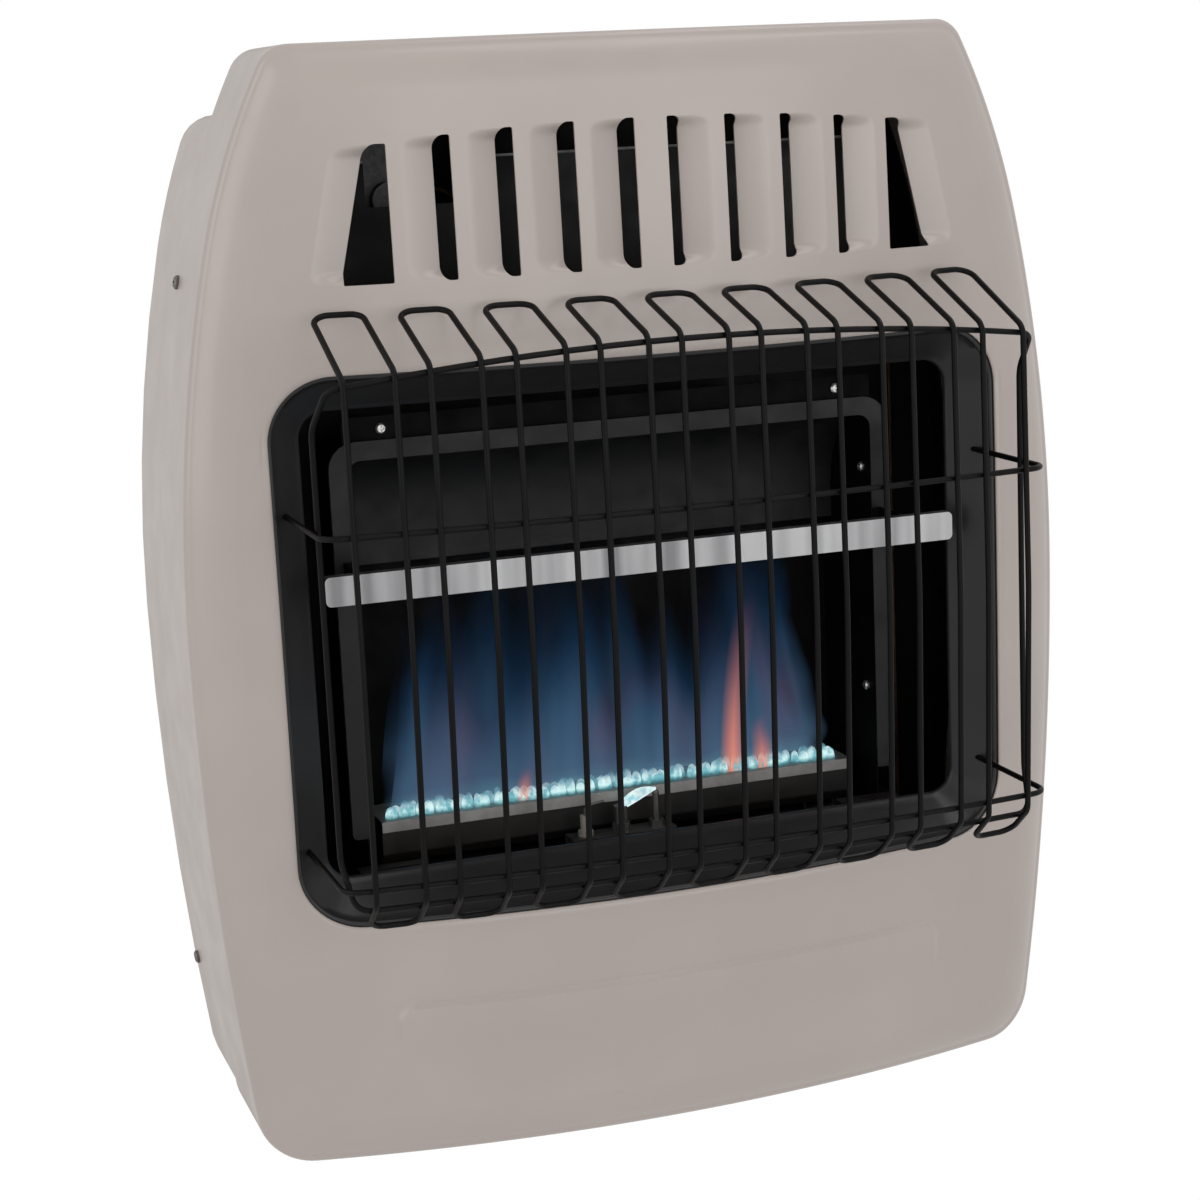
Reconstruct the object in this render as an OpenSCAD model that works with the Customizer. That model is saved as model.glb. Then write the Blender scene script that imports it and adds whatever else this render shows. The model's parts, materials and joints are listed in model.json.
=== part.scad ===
// Wall mounted blue-flame gas heater with a stamped, louvred front panel and a wire guard.
// Lengths are in millimetres. x runs to the right, -y into the room and z up.
// The wall is the plane y = 0, and the origin is the middle of the two wall screws.
// Inside the modules heights are counted from the lower edge of the casing.

/* [Casing] */
// Height of the stamped front panel
case_h = 605; // [590:1:630]
// Width of the front panel at its widest
case_w = 512; // [500:1:530]
// Distance from the wall to the foremost point of the front panel
case_d = 195; // [190:1:210]
// Radius of the front panel seen from above
plan_r = 847; // [800:1:1000]
// Radius of the front panel seen from the side
profile_r = 5192; // [4500:10:7000]
// Height of the foremost point
bulge_z = 300; // [290:1:310]
// Height of the widest point
widest_z = 295; // [285:1:305]
// Radius of the side outline above the widest point
upper_r = 937; // [900:1:1000]
// Radius of the side outline below the widest point
lower_r = 2000; // [1800:10:2400]
// Height where the side outline turns into the shoulder
shoulder_z = 500; // [490:1:510]
// Radius of the shoulder
shoulder_r = 400; // [380:1:450]
// Radius of the upper corners
top_corner_r = 18; // [12:1:22]
// Radius of the lower corners
bottom_corner_r = 30; // [22:1:36]
// Sheet thickness of the front panel and the cabinet
sheet = 1.2; // [0.8:0.1:1.6]
// Width of the soft roll round the front panel
roll_w = 26; // [22:1:30]
// Depth of the soft roll at the edge
roll_d = 7; // [5:0.5:9]
// Distance from the wall to the rear edge of the panel's flange
flange_y = 80; // [74:1:86]
// Clearance between sheets that slide into each other
fit_gap = 0.3; // [0.2:0.05:0.5]

/* [Lower emboss] */
// Half width of the raised pad on the lower front
emboss_half = 164; // [150:1:170]
// Height of the pad's upper edge
emboss_z = 92; // [88:1:96]
// Height that the pad stands proud of the front
emboss_d = 1.8; // [0.8:0.1:2.2]
// Corner radius of the pad
emboss_r = 12; // [8:1:16]

/* [Louvres] */
// Louvres on each side of the middle
louvre_n = 5; // [3:1:5]
// Distance from one louvre to the next
louvre_pitch = 32.84; // [32:0.1:34]
// Surface edge of the first louvre from the middle
louvre_edge = 9.02; // [8:0.1:10]
// Width of the open slot
louvre_slot = 8; // [6:0.5:9]
// Width of the pressed ramp
louvre_ramp = 18; // [16:0.5:19]
// Depth of the ramp at the slot
louvre_d = 6; // [4:0.5:8]
// Lower end of the louvres
louvre_z0 = 482; // [480:1:490]
// Upper end of the middle louvres
louvre_z1 = 560; // [550:1:565]
// Drop of the upper ends towards the sides
louvre_drop = 7; // [4:1:10]
// Corner radius of the ramps
louvre_r = 7; // [4:1:8]
// Corner radius of the slots beside the ramps
slot_r = 4.5; // [2:0.5:6]
// Extra width of the outermost slot at its foot
louvre_flare = 16; // [8:1:18]

/* [Window] */
// Half width of the window opening
window_half = 210; // [205:1:214]
// Lower edge of the window opening
window_z0 = 137.7; // [134:0.1:142]
// Upper edge of the window opening
window_z1 = 436.1; // [430:0.1:440]
// Corner radius of the window opening
window_r = 35; // [30:1:40]
// Width of the sloping face of the bezel
bezel_w = 20; // [16:1:22]
// Distance from the wall to the bezel's inner edge
bezel_y = 145; // [142:1:150]
// Width of the bezel's hidden rim behind the panel
bezel_rim = 8; // [6:1:10]

/* [Guard] */
// Diameter of the guard wire
wire_d = 3.2; // [2.8:0.1:3.6]
// Distance that the guard stands in front of the panel
guard_proud = 64; // [60:1:68]
// Radius of the guard seen from above
guard_r = 1606; // [1500:1:2000]
// Number of wire loops
loop_n = 9; // [7:2:9]
// Distance from one loop to the next
loop_pitch = 43.4; // [42:0.1:44]
// Distance between the two legs of a loop, wire centre to wire centre
loop_w = 25.6; // [22:0.1:28]
// Height of the loops' upper ends
loop_top_z = 468.5; // [466:0.5:472]
// Gap between the loops' upper ends and the panel
loop_top_gap = 10; // [8:0.5:14]
// Height of the loops' forward bend at the middle
loop_bend_z = 453; // [450:0.5:456]
// Height of the loops' lower bend
loop_low_z = 172; // [170:0.5:176]
// Height of the loops' lower ends
loop_end_z = 155; // [152:0.5:158]
// Distance that the lower ends stand back
loop_end_back = 24; // [18:0.5:28]
// Half width of the cross rods
rod_half = 201.4; // [200:0.1:203]
// Height of the upper cross rod
rod_hi_z = 363; // [355:1:370]
// Height of the lower cross rod
rod_lo_z = 179.5; // [178:0.5:184]

/* [Cabinet] */
// Height of the cabinet's top, where the controls are
cabinet_h = 571; // [565:1:576]
// Corner radius of the cabinet's top
cabinet_r = 22; // [16:1:26]
// Distance that the cabinet reaches forward into the panel's flange
cabinet_lap = 22; // [18:1:26]
// Distance from the wall to the back panel
back_gap = 4; // [3.5:0.1:5]
// Depth of the back panel's rim
back_rim = 18; // [15:1:22]

/* [Wall mounting] */
// Distance of the wall screws below the cabinet's top
mount_drop = 71; // [64:1:80]
// Distance between the two wall screws
stud_spacing = 406.4; // [400:0.1:408]
// Diameter of the wall screw holes
wall_hole_d = 6.5; // [5:0.5:8]
// Length of the wall bracket beyond each wall screw
bracket_end = 14.8; // [12:0.1:18]
// Height of the wall bracket
bracket_h = 36; // [30:1:40]
// Thickness of the wall bracket
bracket_t = 1.6; // [1.2:0.1:2]
// Distance of the bracket's hooks from the middle
hook_x = 130; // [120:1:140]
// Width of a hook
hook_w = 40; // [30:1:50]
// Distance between the two lower wall screws
lower_spacing = 300; // [280:1:320]
// Height of the lower wall screws
lower_z = 60; // [50:1:70]

/* [Firebox] */
// Half width of the firebox
fire_half = 158; // [155:1:160]
// Distance from the wall to the front of the firebox
fire_y = 109; // [106:1:112]
// Distance from the wall to the rear of the firebox
fire_back_y = 38; // [35:1:42]
// Height of the firebox floor
fire_z0 = 141; // [139:1:143]
// Height of the firebox roof
fire_z1 = 386; // [383:1:390]
// Sheet thickness of the firebox
fire_t = 1.0; // [0.8:0.1:1.2]
// Width of the frame round the firebox opening
frame_w = 10.5; // [9:0.5:12]
// Outer half width of that frame
frame_half = 167; // [165:1:170]
// Half length of the bright deflector bar
bar_half = 184; // [180:1:186]
// Lower edge of the deflector bar
bar_z = 313; // [310:1:318]
// Height of the deflector bar
bar_h = 16; // [14:1:18]
// Distance from the wall to the face of the deflector bar
bar_y = 161; // [158:1:163]

/* [Burner] */
// Half length of the burner
burner_half = 146; // [140:1:148]
// Depth of the burner
burner_w = 36; // [32:1:38]
// Distance from the wall to the burner's centre line
burner_y = 76; // [74:1:78]
// Height of the burner's top
burner_z = 172; // [170:1:174]
// Port slots along the burner
port_n = 44; // [30:1:48]
// Outer diameter of the mixing tube
venturi_d = 24; // [22:0.5:25]
// Height of the mixing tube's axis
venturi_z = 124; // [122:1:125]

/* [Controls] */
// Height of the valve's body
valve_h = 56; // [50:1:60]
// Distance of the valve from the middle
valve_x = 112; // [108:1:116]
// Distance from the wall to the axis of the controls
control_y = 42; // [40:1:44]
// Diameter of the control knob
knob_d = 40; // [36:1:42]
// Height of the control knob
knob_h = 17; // [14:1:18]
// Gap between the knob and the cabinet's top
knob_gap = 6; // [5:0.5:7]
// Travel of the knob when it is pushed
knob_push = 4; // [3:0.5:4.5]
// Diameter of the valve stem
stem_d = 8; // [7:0.5:9]
// Diameter of the plunger sleeve
plunger_d = 16; // [14:0.5:18]
// Radial running clearance of stem and plunger
run_gap = 0.05; // [0.03:0.01:0.08]
// Distance of the igniter from the middle
piezo_x = 52; // [48:1:58]
// Diameter of the igniter's barrel
piezo_d = 18; // [16:0.5:20]
// Diameter of the igniter's button
button_d = 13; // [11:0.5:14]
// Travel of the igniter's button
button_push = 8; // [6:0.5:9]

/* [Gas train] */
// Distance of the regulator's axis from the casing's widest side
reg_in = 64; // [62:1:66]
// Distance from the wall to the regulator's axis
reg_y = 52; // [48:1:56]
// Diameter of the regulator's body
reg_d = 46; // [42:1:50]
// Radius of the gas inlet thread
inlet_r = 7.3; // [7:0.1:8]
// Depth of the gas inlet thread
inlet_l = 16; // [14:1:18]
// Diameter of the supply tubes
tube_d = 8; // [7:0.5:9]
// Diameter of the pilot tube
pilot_d = 4; // [3.5:0.5:5]
// Diameter of the ignition lead
lead_d = 3.5; // [3:0.5:4]
// Diameter of the capillary
capillary_d = 2.4; // [2:0.2:3]

/* [Hidden] */

// Rounding of true circles, and points along drawn arcs
$fn = 32;
arc_n = 5;
// Largest turn of a facet in a bend, and largest length of one in a bow
bend_step = 30;
bow_step = 45;
// Points along the straight top and bottom edges, half of each, and along the shoulder
edge_n = 6;
shoulder_n = 4;
// Finish colours
taupe = [0.65, 0.61, 0.59];
charcoal = [0.17, 0.18, 0.19];
soot = [0.11, 0.11, 0.11];
zinc = [0.72, 0.73, 0.74];
bright = [0.82, 0.82, 0.83];
brass = [0.78, 0.62, 0.32];
porcelain = [0.93, 0.92, 0.88];
black = [0.06, 0.06, 0.06];
copper = [0.75, 0.48, 0.34];
burnt = [0.42, 0.41, 0.40];
port_steel = [0.55, 0.54, 0.52];
cast = [0.66, 0.67, 0.68];
red = [0.75, 0.08, 0.06];

// Height of the wall screws above the casing's lower edge, length of their bracket and place of the gas inlet
mount_h = cabinet_h - mount_drop;
bracket_l = stud_spacing + 2 * bracket_end;
reg_x = case_w / 2 - reg_in;
// Body of the control valve
valve_z1 = cabinet_h - 15;
valve_z0 = valve_z1 - valve_h;
valve_w = 44;
valve_t = 36;
half_w = case_w / 2;
lower_c = [half_w - lower_r, widest_z];
upper_c = [half_w - upper_r, widest_z];
shoulder_a = asin((shoulder_z - widest_z) / upper_r);
shoulder_c = [
  upper_c.x + (upper_r - shoulder_r) * cos(shoulder_a),
  upper_c.y + (upper_r - shoulder_r) * sin(shoulder_a)
];
// Tight corner between the roll and the side flange
edge_r = 4;
// Gap between faces that are clamped together, and reach of a cut beyond its sheet
seat_gap = 0.1;
through = 5;
// Seat of the cabinet inside the panel's flange
cabinet_in = sheet + fit_gap;
back_in = cabinet_in + sheet + fit_gap;
cabinet_y = flange_y + cabinet_lap;
// Clearance holes and screws
screw_d = 3.8;
head_d = 7.6;
head_h = 2.2;
screw_gap = 0.3;

// ---------- helpers ----------

function unit(v) = v / norm(v);

function arc(c, r, a0, a1, n) = [for (i = [0:n]) let (a = a0 + (a1 - a0) * i / n) c + r * [cos(a), sin(a)]];

function mirrored(p) = [for (i = [len(p) - 1:-1:0]) [-p[i].x, p[i].y]];

// Ramp from 0 to 1 with soft ends
function soft(t) = let (u = max(0, min(1, t))) u * u * (3 - 2 * u);

// Points that round the corner b between a and c
function corner(a, b, c, r, n) = let (
  u = unit(a - b),
  w = unit(c - b),
  h = acos(u * w) / 2,
  m = b + unit(u + w) * r / sin(h),
  s = b + u * r / tan(h) - m,
  e = b + w * r / tan(h) - m,
  a0 = atan2(s.y, s.x)
) arc(m, r, a0, a0 + (atan2(e.y, e.x) - a0 + 540) % 360 - 180, n);

// Polygon with rounded corners, r is one radius or a list with 0 for a sharp corner
function rounded(p, r, n = arc_n) = let (m = len(p)) [
  for (i = [0:m - 1])
    let (q = is_list(r) ? r[i] : r)
    each q > 0 ? corner(p[(i + m - 1) % m], p[i], p[(i + 1) % m], q, n) : [p[i]]
];

function box_2d(x0, y0, x1, y1) = [[x0, y0], [x1, y0], [x1, y1], [x0, y1]];

// Extrusions of a drawing: along y its axes are x and z, along x they are y and z
module along_y(y0, y1) translate([0, y1, 0]) rotate([90, 0, 0]) linear_extrude(y1 - y0) children();

module along_x(x0, x1) translate([x0, 0, 0]) rotate([90, 0, 90]) linear_extrude(x1 - x0) children();

module plate(x0, y0, z0, x1, y1, z1) translate([x0, y0, z0]) cube([x1 - x0, y1 - y0, z1 - z0]);

module both_sides() {
  children();
  mirror([1, 0, 0]) children();
}

// Moves a sub-part from casing heights to the origin at the wall screws
module hung() translate([0, 0, -mount_h]) children();

// Points and directions along the bend b between a and c
function bend(a, b, c, r) = let (
  u = unit(b - a),
  w = unit(c - b),
  turn = acos(u * w),
  s = b - u * r * tan(turn / 2),
  n = unit(w - u * (u * w)),
  m = max(ceil(turn / bend_step), ceil(turn * PI / 180 * r / bow_step))
) [for (i = [0:m]) let (g = turn * i / m) [s + r * sin(g) * u + r * (1 - cos(g)) * n, cos(g) * u + sin(g) * n]];

// Normals carried along a list of points and directions without twist
function normals(q) = [
  for (i = 0, n = unit(cross(q[0][1], [0.2, 0.5, 0.9])); i < len(q); i = i + 1, n = i < len(q) ? unit(n - q[i][1] * (n * q[i][1])) : n) n
];

// Wire or tube of diameter d bent at every point of p with the radii in r
module bent_wire(p, r, d, closed = false, sides = 8) {
  m = len(p);
  q = [
    for (i = [0:m - 1])
      let (a = p[(i + m - 1) % m], b = p[i], c = p[(i + 1) % m])
      each !closed && i == 0 ? [[b, unit(c - b)]] : !closed && i == m - 1 ? [[b, unit(b - a)]] : bend(a, b, c, r[i])
  ];
  n = normals(q);
  k = len(q);
  h = d / 2 / cos(180 / sides);
  polyhedron(
    points = [
      for (i = [0:k - 1], j = [0:sides - 1])
        let (g = 360 * (j + 0.5) / sides) q[i][0] + h * (cos(g) * n[i] + sin(g) * cross(q[i][1], n[i]))
    ],
    faces = concat(
      closed ? [] : [[for (j = [0:sides - 1]) j], [for (j = [sides - 1:-1:0]) (k - 1) * sides + j]],
      [
        for (i = [0:k - (closed ? 1 : 2)], j = [0:sides - 1])
          let (a = i * sides, b = (i + 1) % k * sides, e = (j + 1) % sides)
          each [[a + j, b + j, b + e], [a + j, b + e, a + e]]
      ]
    )
  );
}

// Hexagon nut or head round the z axis
module hexagon(across, h) cylinder(h = h, d = across / cos(30), $fn = 6);

// Pan head screw, its head on the plane z = 0 and its shank below it
module screw(l, d = screw_d, head = head_d) {
  difference() {
    union() {
      cylinder(h = head_h * 0.6, d = head);
      translate([0, 0, head_h * 0.6]) cylinder(h = head_h * 0.4, d1 = head, d2 = head * 0.7);
    }
    for (a = [0, 90])
      rotate([0, 0, a]) plate(-head * 0.3, -0.5, head_h * 0.45, head * 0.3, 0.5, head_h + 1);
  }
  translate([0, 0, -l]) cylinder(h = l, d = d);
}

// ---------- outline and surface of the front panel ----------

// Right half of the casing outline, from the middle of the lower edge to the middle of the upper one.
// The top corner lies against the shoulder, or against the upper side where the top is that low.
function half_outline(s, top, rt) = let (
  rb = bottom_corner_r - 0.4 * s,
  zb = s + rb,
  zt = top - rt,
  xb = lower_c.x + sqrt(pow(lower_r - s - rb, 2) - pow(zb - widest_z, 2)),
  high = asin((zt - shoulder_c.y) / (shoulder_r - s - rt)) > shoulder_a,
  c = high ? shoulder_c : upper_c,
  r = high ? shoulder_r : upper_r,
  xt = c.x + sqrt(pow(r - s - rt, 2) - pow(zt - c.y, 2)),
  ab = atan2(zb - widest_z, xb - lower_c.x),
  at = atan2(zt - c.y, xt - c.x),
  knee = high ? shoulder_a : at * arc_n / (arc_n + shoulder_n)
) concat(
  [for (i = [0:edge_n - 1]) [xb * i / edge_n, s]],
  arc([xb, zb], rb, -90, ab, arc_n),
  [for (i = [1:arc_n]) lower_c + (lower_r - s) * [cos(ab * (1 - i / arc_n)), sin(ab * (1 - i / arc_n))]],
  [for (i = [1:arc_n]) upper_c + (upper_r - s) * [cos(knee * i / arc_n), sin(knee * i / arc_n)]],
  [for (i = [1:shoulder_n]) let (a = knee + (at - knee) * i / shoulder_n) c + (r - s) * [cos(a), sin(a)]],
  [for (i = [1:arc_n]) let (a = at + (90 - at) * i / arc_n) [xt, zt] + rt * [cos(a), sin(a)]],
  [for (i = [1:edge_n - 1]) [xt * (1 - i / edge_n), top]]
);

// Whole casing outline, s inside the panel's own edge, with its own top for the cabinet
function outline(s, top, rt) = let (h = half_outline(s, top, rt), m = mirrored(h))
  concat(h, [[0, top]], [for (i = [0:len(m) - 2]) m[i]]);

function edge(s) = outline(s, case_h - s, top_corner_r - 0.3 * s);

// Outline of the window, s inside its edge, with as many points as the casing outline
function half_window(s) = let (
  w = window_half - s,
  r = window_r - s,
  z0 = window_z0 + s,
  z1 = window_z1 - s,
  mid = (z0 + z1) / 2
) concat(
  [for (i = [0:edge_n - 1]) [(w - r) * i / edge_n, z0]],
  arc([w - r, z0 + r], r, -90, 0, arc_n),
  [for (i = [1:arc_n]) [w, z0 + r + (mid - z0 - r) * i / arc_n]],
  [for (i = [1:arc_n]) [w, mid + (z1 - r - mid) * i / arc_n]],
  [for (i = [1:arc_n + shoulder_n]) let (a = 90 * i / (arc_n + shoulder_n)) [w - r, z1 - r] + r * [cos(a), sin(a)]],
  [for (i = [1:edge_n - 1]) [(w - r) * (1 - i / edge_n), z1]]
);

function window(s) = let (h = half_window(s), m = mirrored(h))
  concat(h, [[0, window_z1 - s]], [for (i = [0:len(m) - 2]) m[i]]);

// Crowned surface of the front, and the raised pad on it, which fades out downwards
function crown(x, z) = -case_d + x * x / (2 * plan_r) + pow(z - bulge_z, 2) / (2 * profile_r);

emboss_step = 4;
emboss_fade = 40;
emboss_lead = 8;

function pad(x, z) = let (
  q = [max(abs(x) - emboss_half + emboss_r, 0), max(z - emboss_z + emboss_r, 0)]
) emboss_d * soft((emboss_r - norm(q)) / emboss_step) * soft((z - emboss_z + emboss_fade) / (emboss_fade - emboss_lead));

function face(x, z) = crown(x, z) - pad(x, z);

// Depth of the soft roll at a distance s from the edge, which follows this share of a quarter circle
roll_share = 0.94;

function round_off(u) = 1 - sqrt(1 - pow(roll_share * u, 2));

function roll(s) = roll_d * round_off((roll_w - s) / (roll_w - edge_r)) / round_off(1);

// A ring lies on the outline p at a depth behind the crowned surface
function ring(p, depth) = [for (q = p) [q.x, face(q.x, q.y) + depth, q.y]];

function flat_ring(p, y) = [for (q = p) [q.x, y, q.y]];

function blend(a, b, t) = [for (i = [0:len(a) - 1]) a[i] * (1 - t) + b[i] * t];

// Closed sheet skinned over rings, the last one joined to the first
module skin(rings) {
  m = len(rings);
  n = len(rings[0]);
  polyhedron(
    points = [for (r = rings) each r],
    faces = [
      for (k = [0:m - 1], i = [0:n - 1])
        let (a = k * n, b = (k + 1) % m * n, j = (i + 1) % n)
        each [[a + i, b + i, b + j], [a + i, b + j, a + j]]
    ]
  );
}

// Rows of the panel between the roll and the window, as shares of the way
panel_rows = [0.16, 0.316, 0.455, 0.576, 0.613, 0.8];
roll_rows = [for (t = [0, 0.23, 0.5, 0.77, 1]) edge_r + t * (roll_w - edge_r)];
edge_row = 0.3 * edge_r;

// The edge of the window is turned back over the lip
lip_w = 4;
lip_d = 1.6;

module panel_sheet() {
  inner_edge = edge(roll_w);
  lip = window(-lip_w);
  side = roll(edge_r);
  front = concat(
    [flat_ring(edge(0), -flange_y), ring(edge(0), side + edge_r)],
    [ring(edge(edge_row), side + edge_row)],
    [for (s = roll_rows) ring(edge(s), roll(s))],
    [for (t = panel_rows) ring(blend(inner_edge, lip, t), 0)],
    [ring(lip, 0), ring(window(-lip_w / 4), lip_d / 4), ring(window(0), lip_d)]
  );
  rear = concat(
    [ring(window(0), lip_d + sheet), ring(window(-lip_w / 4), lip_d / 4 + sheet), ring(lip, sheet)],
    [for (i = [len(panel_rows) - 1:-1:0]) ring(blend(inner_edge, lip, panel_rows[i]), sheet)],
    [for (i = [len(roll_rows) - 1:-1:1]) ring(edge(roll_rows[i]), roll(roll_rows[i]) + sheet)],
    [ring(edge(edge_r), side + 1.5 * sheet), ring(edge(sheet), side + edge_r)],
    [flat_ring(edge(sheet), -flange_y)]
  );
  skin(concat(front, rear));
}

// ---------- louvres ----------

louvre_reach = 50;
front_cut = case_d + through;
rear_cut = case_d - louvre_reach;

function louvre_top(i) = louvre_z1 - louvre_drop * pow(i / max(1, louvre_n - 1), 2);

// The outermost slot flares towards its foot
function flare(i) = i == louvre_n - 1 ? louvre_flare : 0;

function flare_top(i) = flare(i) > 0 ? flare_step : 0;

// Slot as seen from the front
function slot_2d(i) = let (x = louvre_edge + i * louvre_pitch, w = louvre_slot + flare_top(i)) rounded(
  [[x, louvre_z0], [x + w + flare(i), louvre_z0], [x + w, louvre_top(i)], [x, louvre_top(i)]],
  [slot_nick, flare(i) > 0 ? slot_nick : slot_r, slot_r, slot_nick], 2
);

// Ramp beside it, grown by g
function ramp_2d(i, g) = let (
  x = louvre_edge + i * louvre_pitch + louvre_slot + flare_top(i),
  z0 = louvre_z0 + ramp_inset - g,
  z1 = louvre_top(i) - ramp_inset + g
) rounded(
  [[x + flare(i) - slot_nick, z0], [x + flare(i) + louvre_ramp + g, z0], [x + louvre_ramp + g, z1], [x - slot_nick, z1]],
  [0, louvre_r + g, louvre_r + g, 0], 3
);

// Corner radius of the slots away from the ramps, start of the ramps and length of their sloping ends
slot_nick = 1;
ramp_inset = 1.5;
ramp_end = 9;
// Extra width of the flared slot's top, seat of the ramps in the sheet and reach of their cutters before it
flare_step = 2;
ramp_seat = 0.15;
ramp_out = 3;

// Wedge behind the ramp with sloping ends, in its own axes along the surface and into the cabinet
module louvre_wedge(i, g, v0) {
  zm = (louvre_z0 + louvre_top(i)) / 2;
  xm = louvre_edge + i * louvre_pitch + louvre_slot + flare_top(i) + flare(i) / 2;
  lean = atan(flare(i) / (louvre_top(i) - louvre_z0));
  h = (louvre_top(i) - louvre_z0) / 2 / cos(lean) - ramp_inset;
  deep = louvre_d + g;
  end = louvre_ramp * (deep - v0) / louvre_d;
  top = h + ramp_end * (g - v0) / louvre_d;
  low = h - ramp_end;
  translate([xm, crown(xm, zm), zm])
    rotate([-atan((zm - bulge_z) / profile_r), -lean, atan(xm / plan_r)])
      polyhedron(
        points = [[0, v0, -top], [end, v0, -top], [0, deep, -low], [0, v0, top], [end, v0, top], [0, deep, low]],
        faces = [[0, 1, 2], [3, 5, 4], [0, 3, 4, 1], [1, 4, 5, 2], [2, 5, 3, 0]]
      );
}

module louvre_pocket(i, g, v0) {
  intersection() {
    louvre_wedge(i, g, v0);
    along_y(-front_cut, -rear_cut) polygon(ramp_2d(i, g));
  }
}

module louvre_shell(i) {
  difference() {
    louvre_pocket(i, sheet, ramp_seat);
    louvre_pocket(i, 0, -ramp_out);
  }
}

// ---------- screws in the curved sides ----------

panel_screw_z = mount_h - 16;
panel_screw_y = flange_y + 7;
back_screw_z = 81;
back_screw_y = 12;

// Puts children on the side outline at height z, their z axis along the outward normal
module on_side(z, y) {
  c = z > widest_z ? upper_c : lower_c;
  r = z > widest_z ? upper_r : lower_r;
  translate([c.x, -y, c.y]) rotate([0, 90 - asin((z - widest_z) / r), 0]) translate([0, 0, r]) children();
}

module side_hole(z, y, d) on_side(z, y) translate([0, 0, -2 * through]) cylinder(h = 4 * through, d = d);

// ---------- front ----------

module front_panel() {
  color(taupe) hung() difference() {
    union() {
      difference() {
        panel_sheet();
        both_sides() for (i = [0:louvre_n - 1]) along_y(-front_cut, -rear_cut) {
          polygon(slot_2d(i));
          polygon(ramp_2d(i, 0));
        }
      }
      both_sides() for (i = [0:louvre_n - 1]) louvre_shell(i);
    }
    both_sides() side_hole(panel_screw_z, panel_screw_y, screw_d + 2 * screw_gap);
  }
}

rod_hole_d = wire_d + 1;

module window_bezel() {
  rim = lip_d + sheet + 2 * seat_gap;
  slant = 1.4 * sheet;
  color(charcoal) hung() difference() {
    skin([
      ring(window(-bezel_rim), rim), ring(window(0.6), rim), ring(window(2.5), rim + 1),
      flat_ring(window(bezel_w), -bezel_y), flat_ring(window(bezel_w + 1), -bezel_y + 3),
      flat_ring(window(bezel_w), -bezel_y + 3), flat_ring(window(bezel_w - 0.5), -bezel_y + slant),
      ring(window(2), rim + 1 + slant), ring(window(0.6), rim + sheet), ring(window(-bezel_rim), rim + sheet)
    ]);
    both_sides() for (z = [rod_hi_z, rod_lo_z])
      translate([rod_half, -bezel_y, z]) rotate([90, 0, 0]) cylinder(h = 40, d = rod_hole_d);
  }
}

// ---------- wire guard ----------

weld_gap = 0.2;
// Half span over which the bars are bowed, and height of their foremost point
bow_half = 184;
guard_mid_z = 300;
// Distances that the bends of the legs stand behind the foremost line
bend_back = 3;
low_back = 4;
// Radius that the legs bow with, and of the ring's bends at its sides and its four ends
leg_bow_r = 400;
ring_side_r = 14;
ring_end_r = 9;
bend_r = 8;
// Drop of the forward bends at the sides
bend_drop = 12;
ring_side_y = 217;
ring_corner = 4;
ring_side_z0 = 190;
ring_side_z1 = 415;
ring_low_z = 164;
ring_x = rod_half - wire_d - 0.2;
rod_end_y = 149;
corner_r = 11;

function guard_y(x) = -case_d - guard_proud + x * x / (2 * guard_r);

function bend_z(x) = loop_bend_z - bend_drop * pow(x / bow_half, 2);

// Distance of a leg behind the foremost line at height z
function leg_back(z) = z > guard_mid_z ? bend_back * (z - guard_mid_z) / (loop_bend_z - guard_mid_z)
  : z > loop_low_z ? low_back * (guard_mid_z - z) / (guard_mid_z - loop_low_z)
  : low_back + (loop_end_back - low_back) * (loop_low_z - z) / (loop_low_z - loop_end_z);

function leg(x) = [
  [x, crown(x, loop_top_z) - loop_top_gap, loop_top_z],
  [x, guard_y(x) + bend_back, bend_z(x)],
  [x, guard_y(x), guard_mid_z],
  [x, guard_y(x) + low_back, loop_low_z],
  [x, guard_y(x) + loop_end_back, loop_end_z]
];

module guard_loops() {
  color(black) hung() for (i = [0:loop_n - 1]) {
    x = (i - (loop_n - 1) / 2) * loop_pitch;
    l = leg(x - loop_w / 2);
    r = leg(x + loop_w / 2);
    bent_wire(
      concat(l, [for (k = [4:-1:0]) r[k]]),
      [bend_r, bend_r, leg_bow_r, bend_r, bend_r, bend_r, bend_r, leg_bow_r, bend_r, bend_r],
      wire_d, closed = true
    );
  }
}

// Corner at half width w and middle of a bar bowed forward by sy and up by sz at its ends
function bow_corner(m, w, sy, sz) = m + [w, sy * (w - bow_half / 2), -sz * (w - bow_half / 2)];

function bow_middle(m, sy, sz) = m + [0, -sy * bow_half / 2, sz * bow_half / 2];

function bow_radius(s) = bow_half * sqrt(1 + s * s) / s;

guard_slope = bow_half / guard_r;

module guard_cross_rods() {
  color(black) hung() for (z = [rod_hi_z, rod_lo_z]) {
    m = [0, guard_y(0) + leg_back(z) + wire_d + weld_gap, z];
    c = bow_corner(m, rod_half, guard_slope, 0);
    bent_wire(
      [[-rod_half, -rod_end_y, z], [-c.x, c.y, z], bow_middle(m, guard_slope, 0), c, [rod_half, -rod_end_y, z]],
      [0, corner_r, bow_radius(guard_slope), corner_r, 0], wire_d
    );
  }
}

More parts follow.
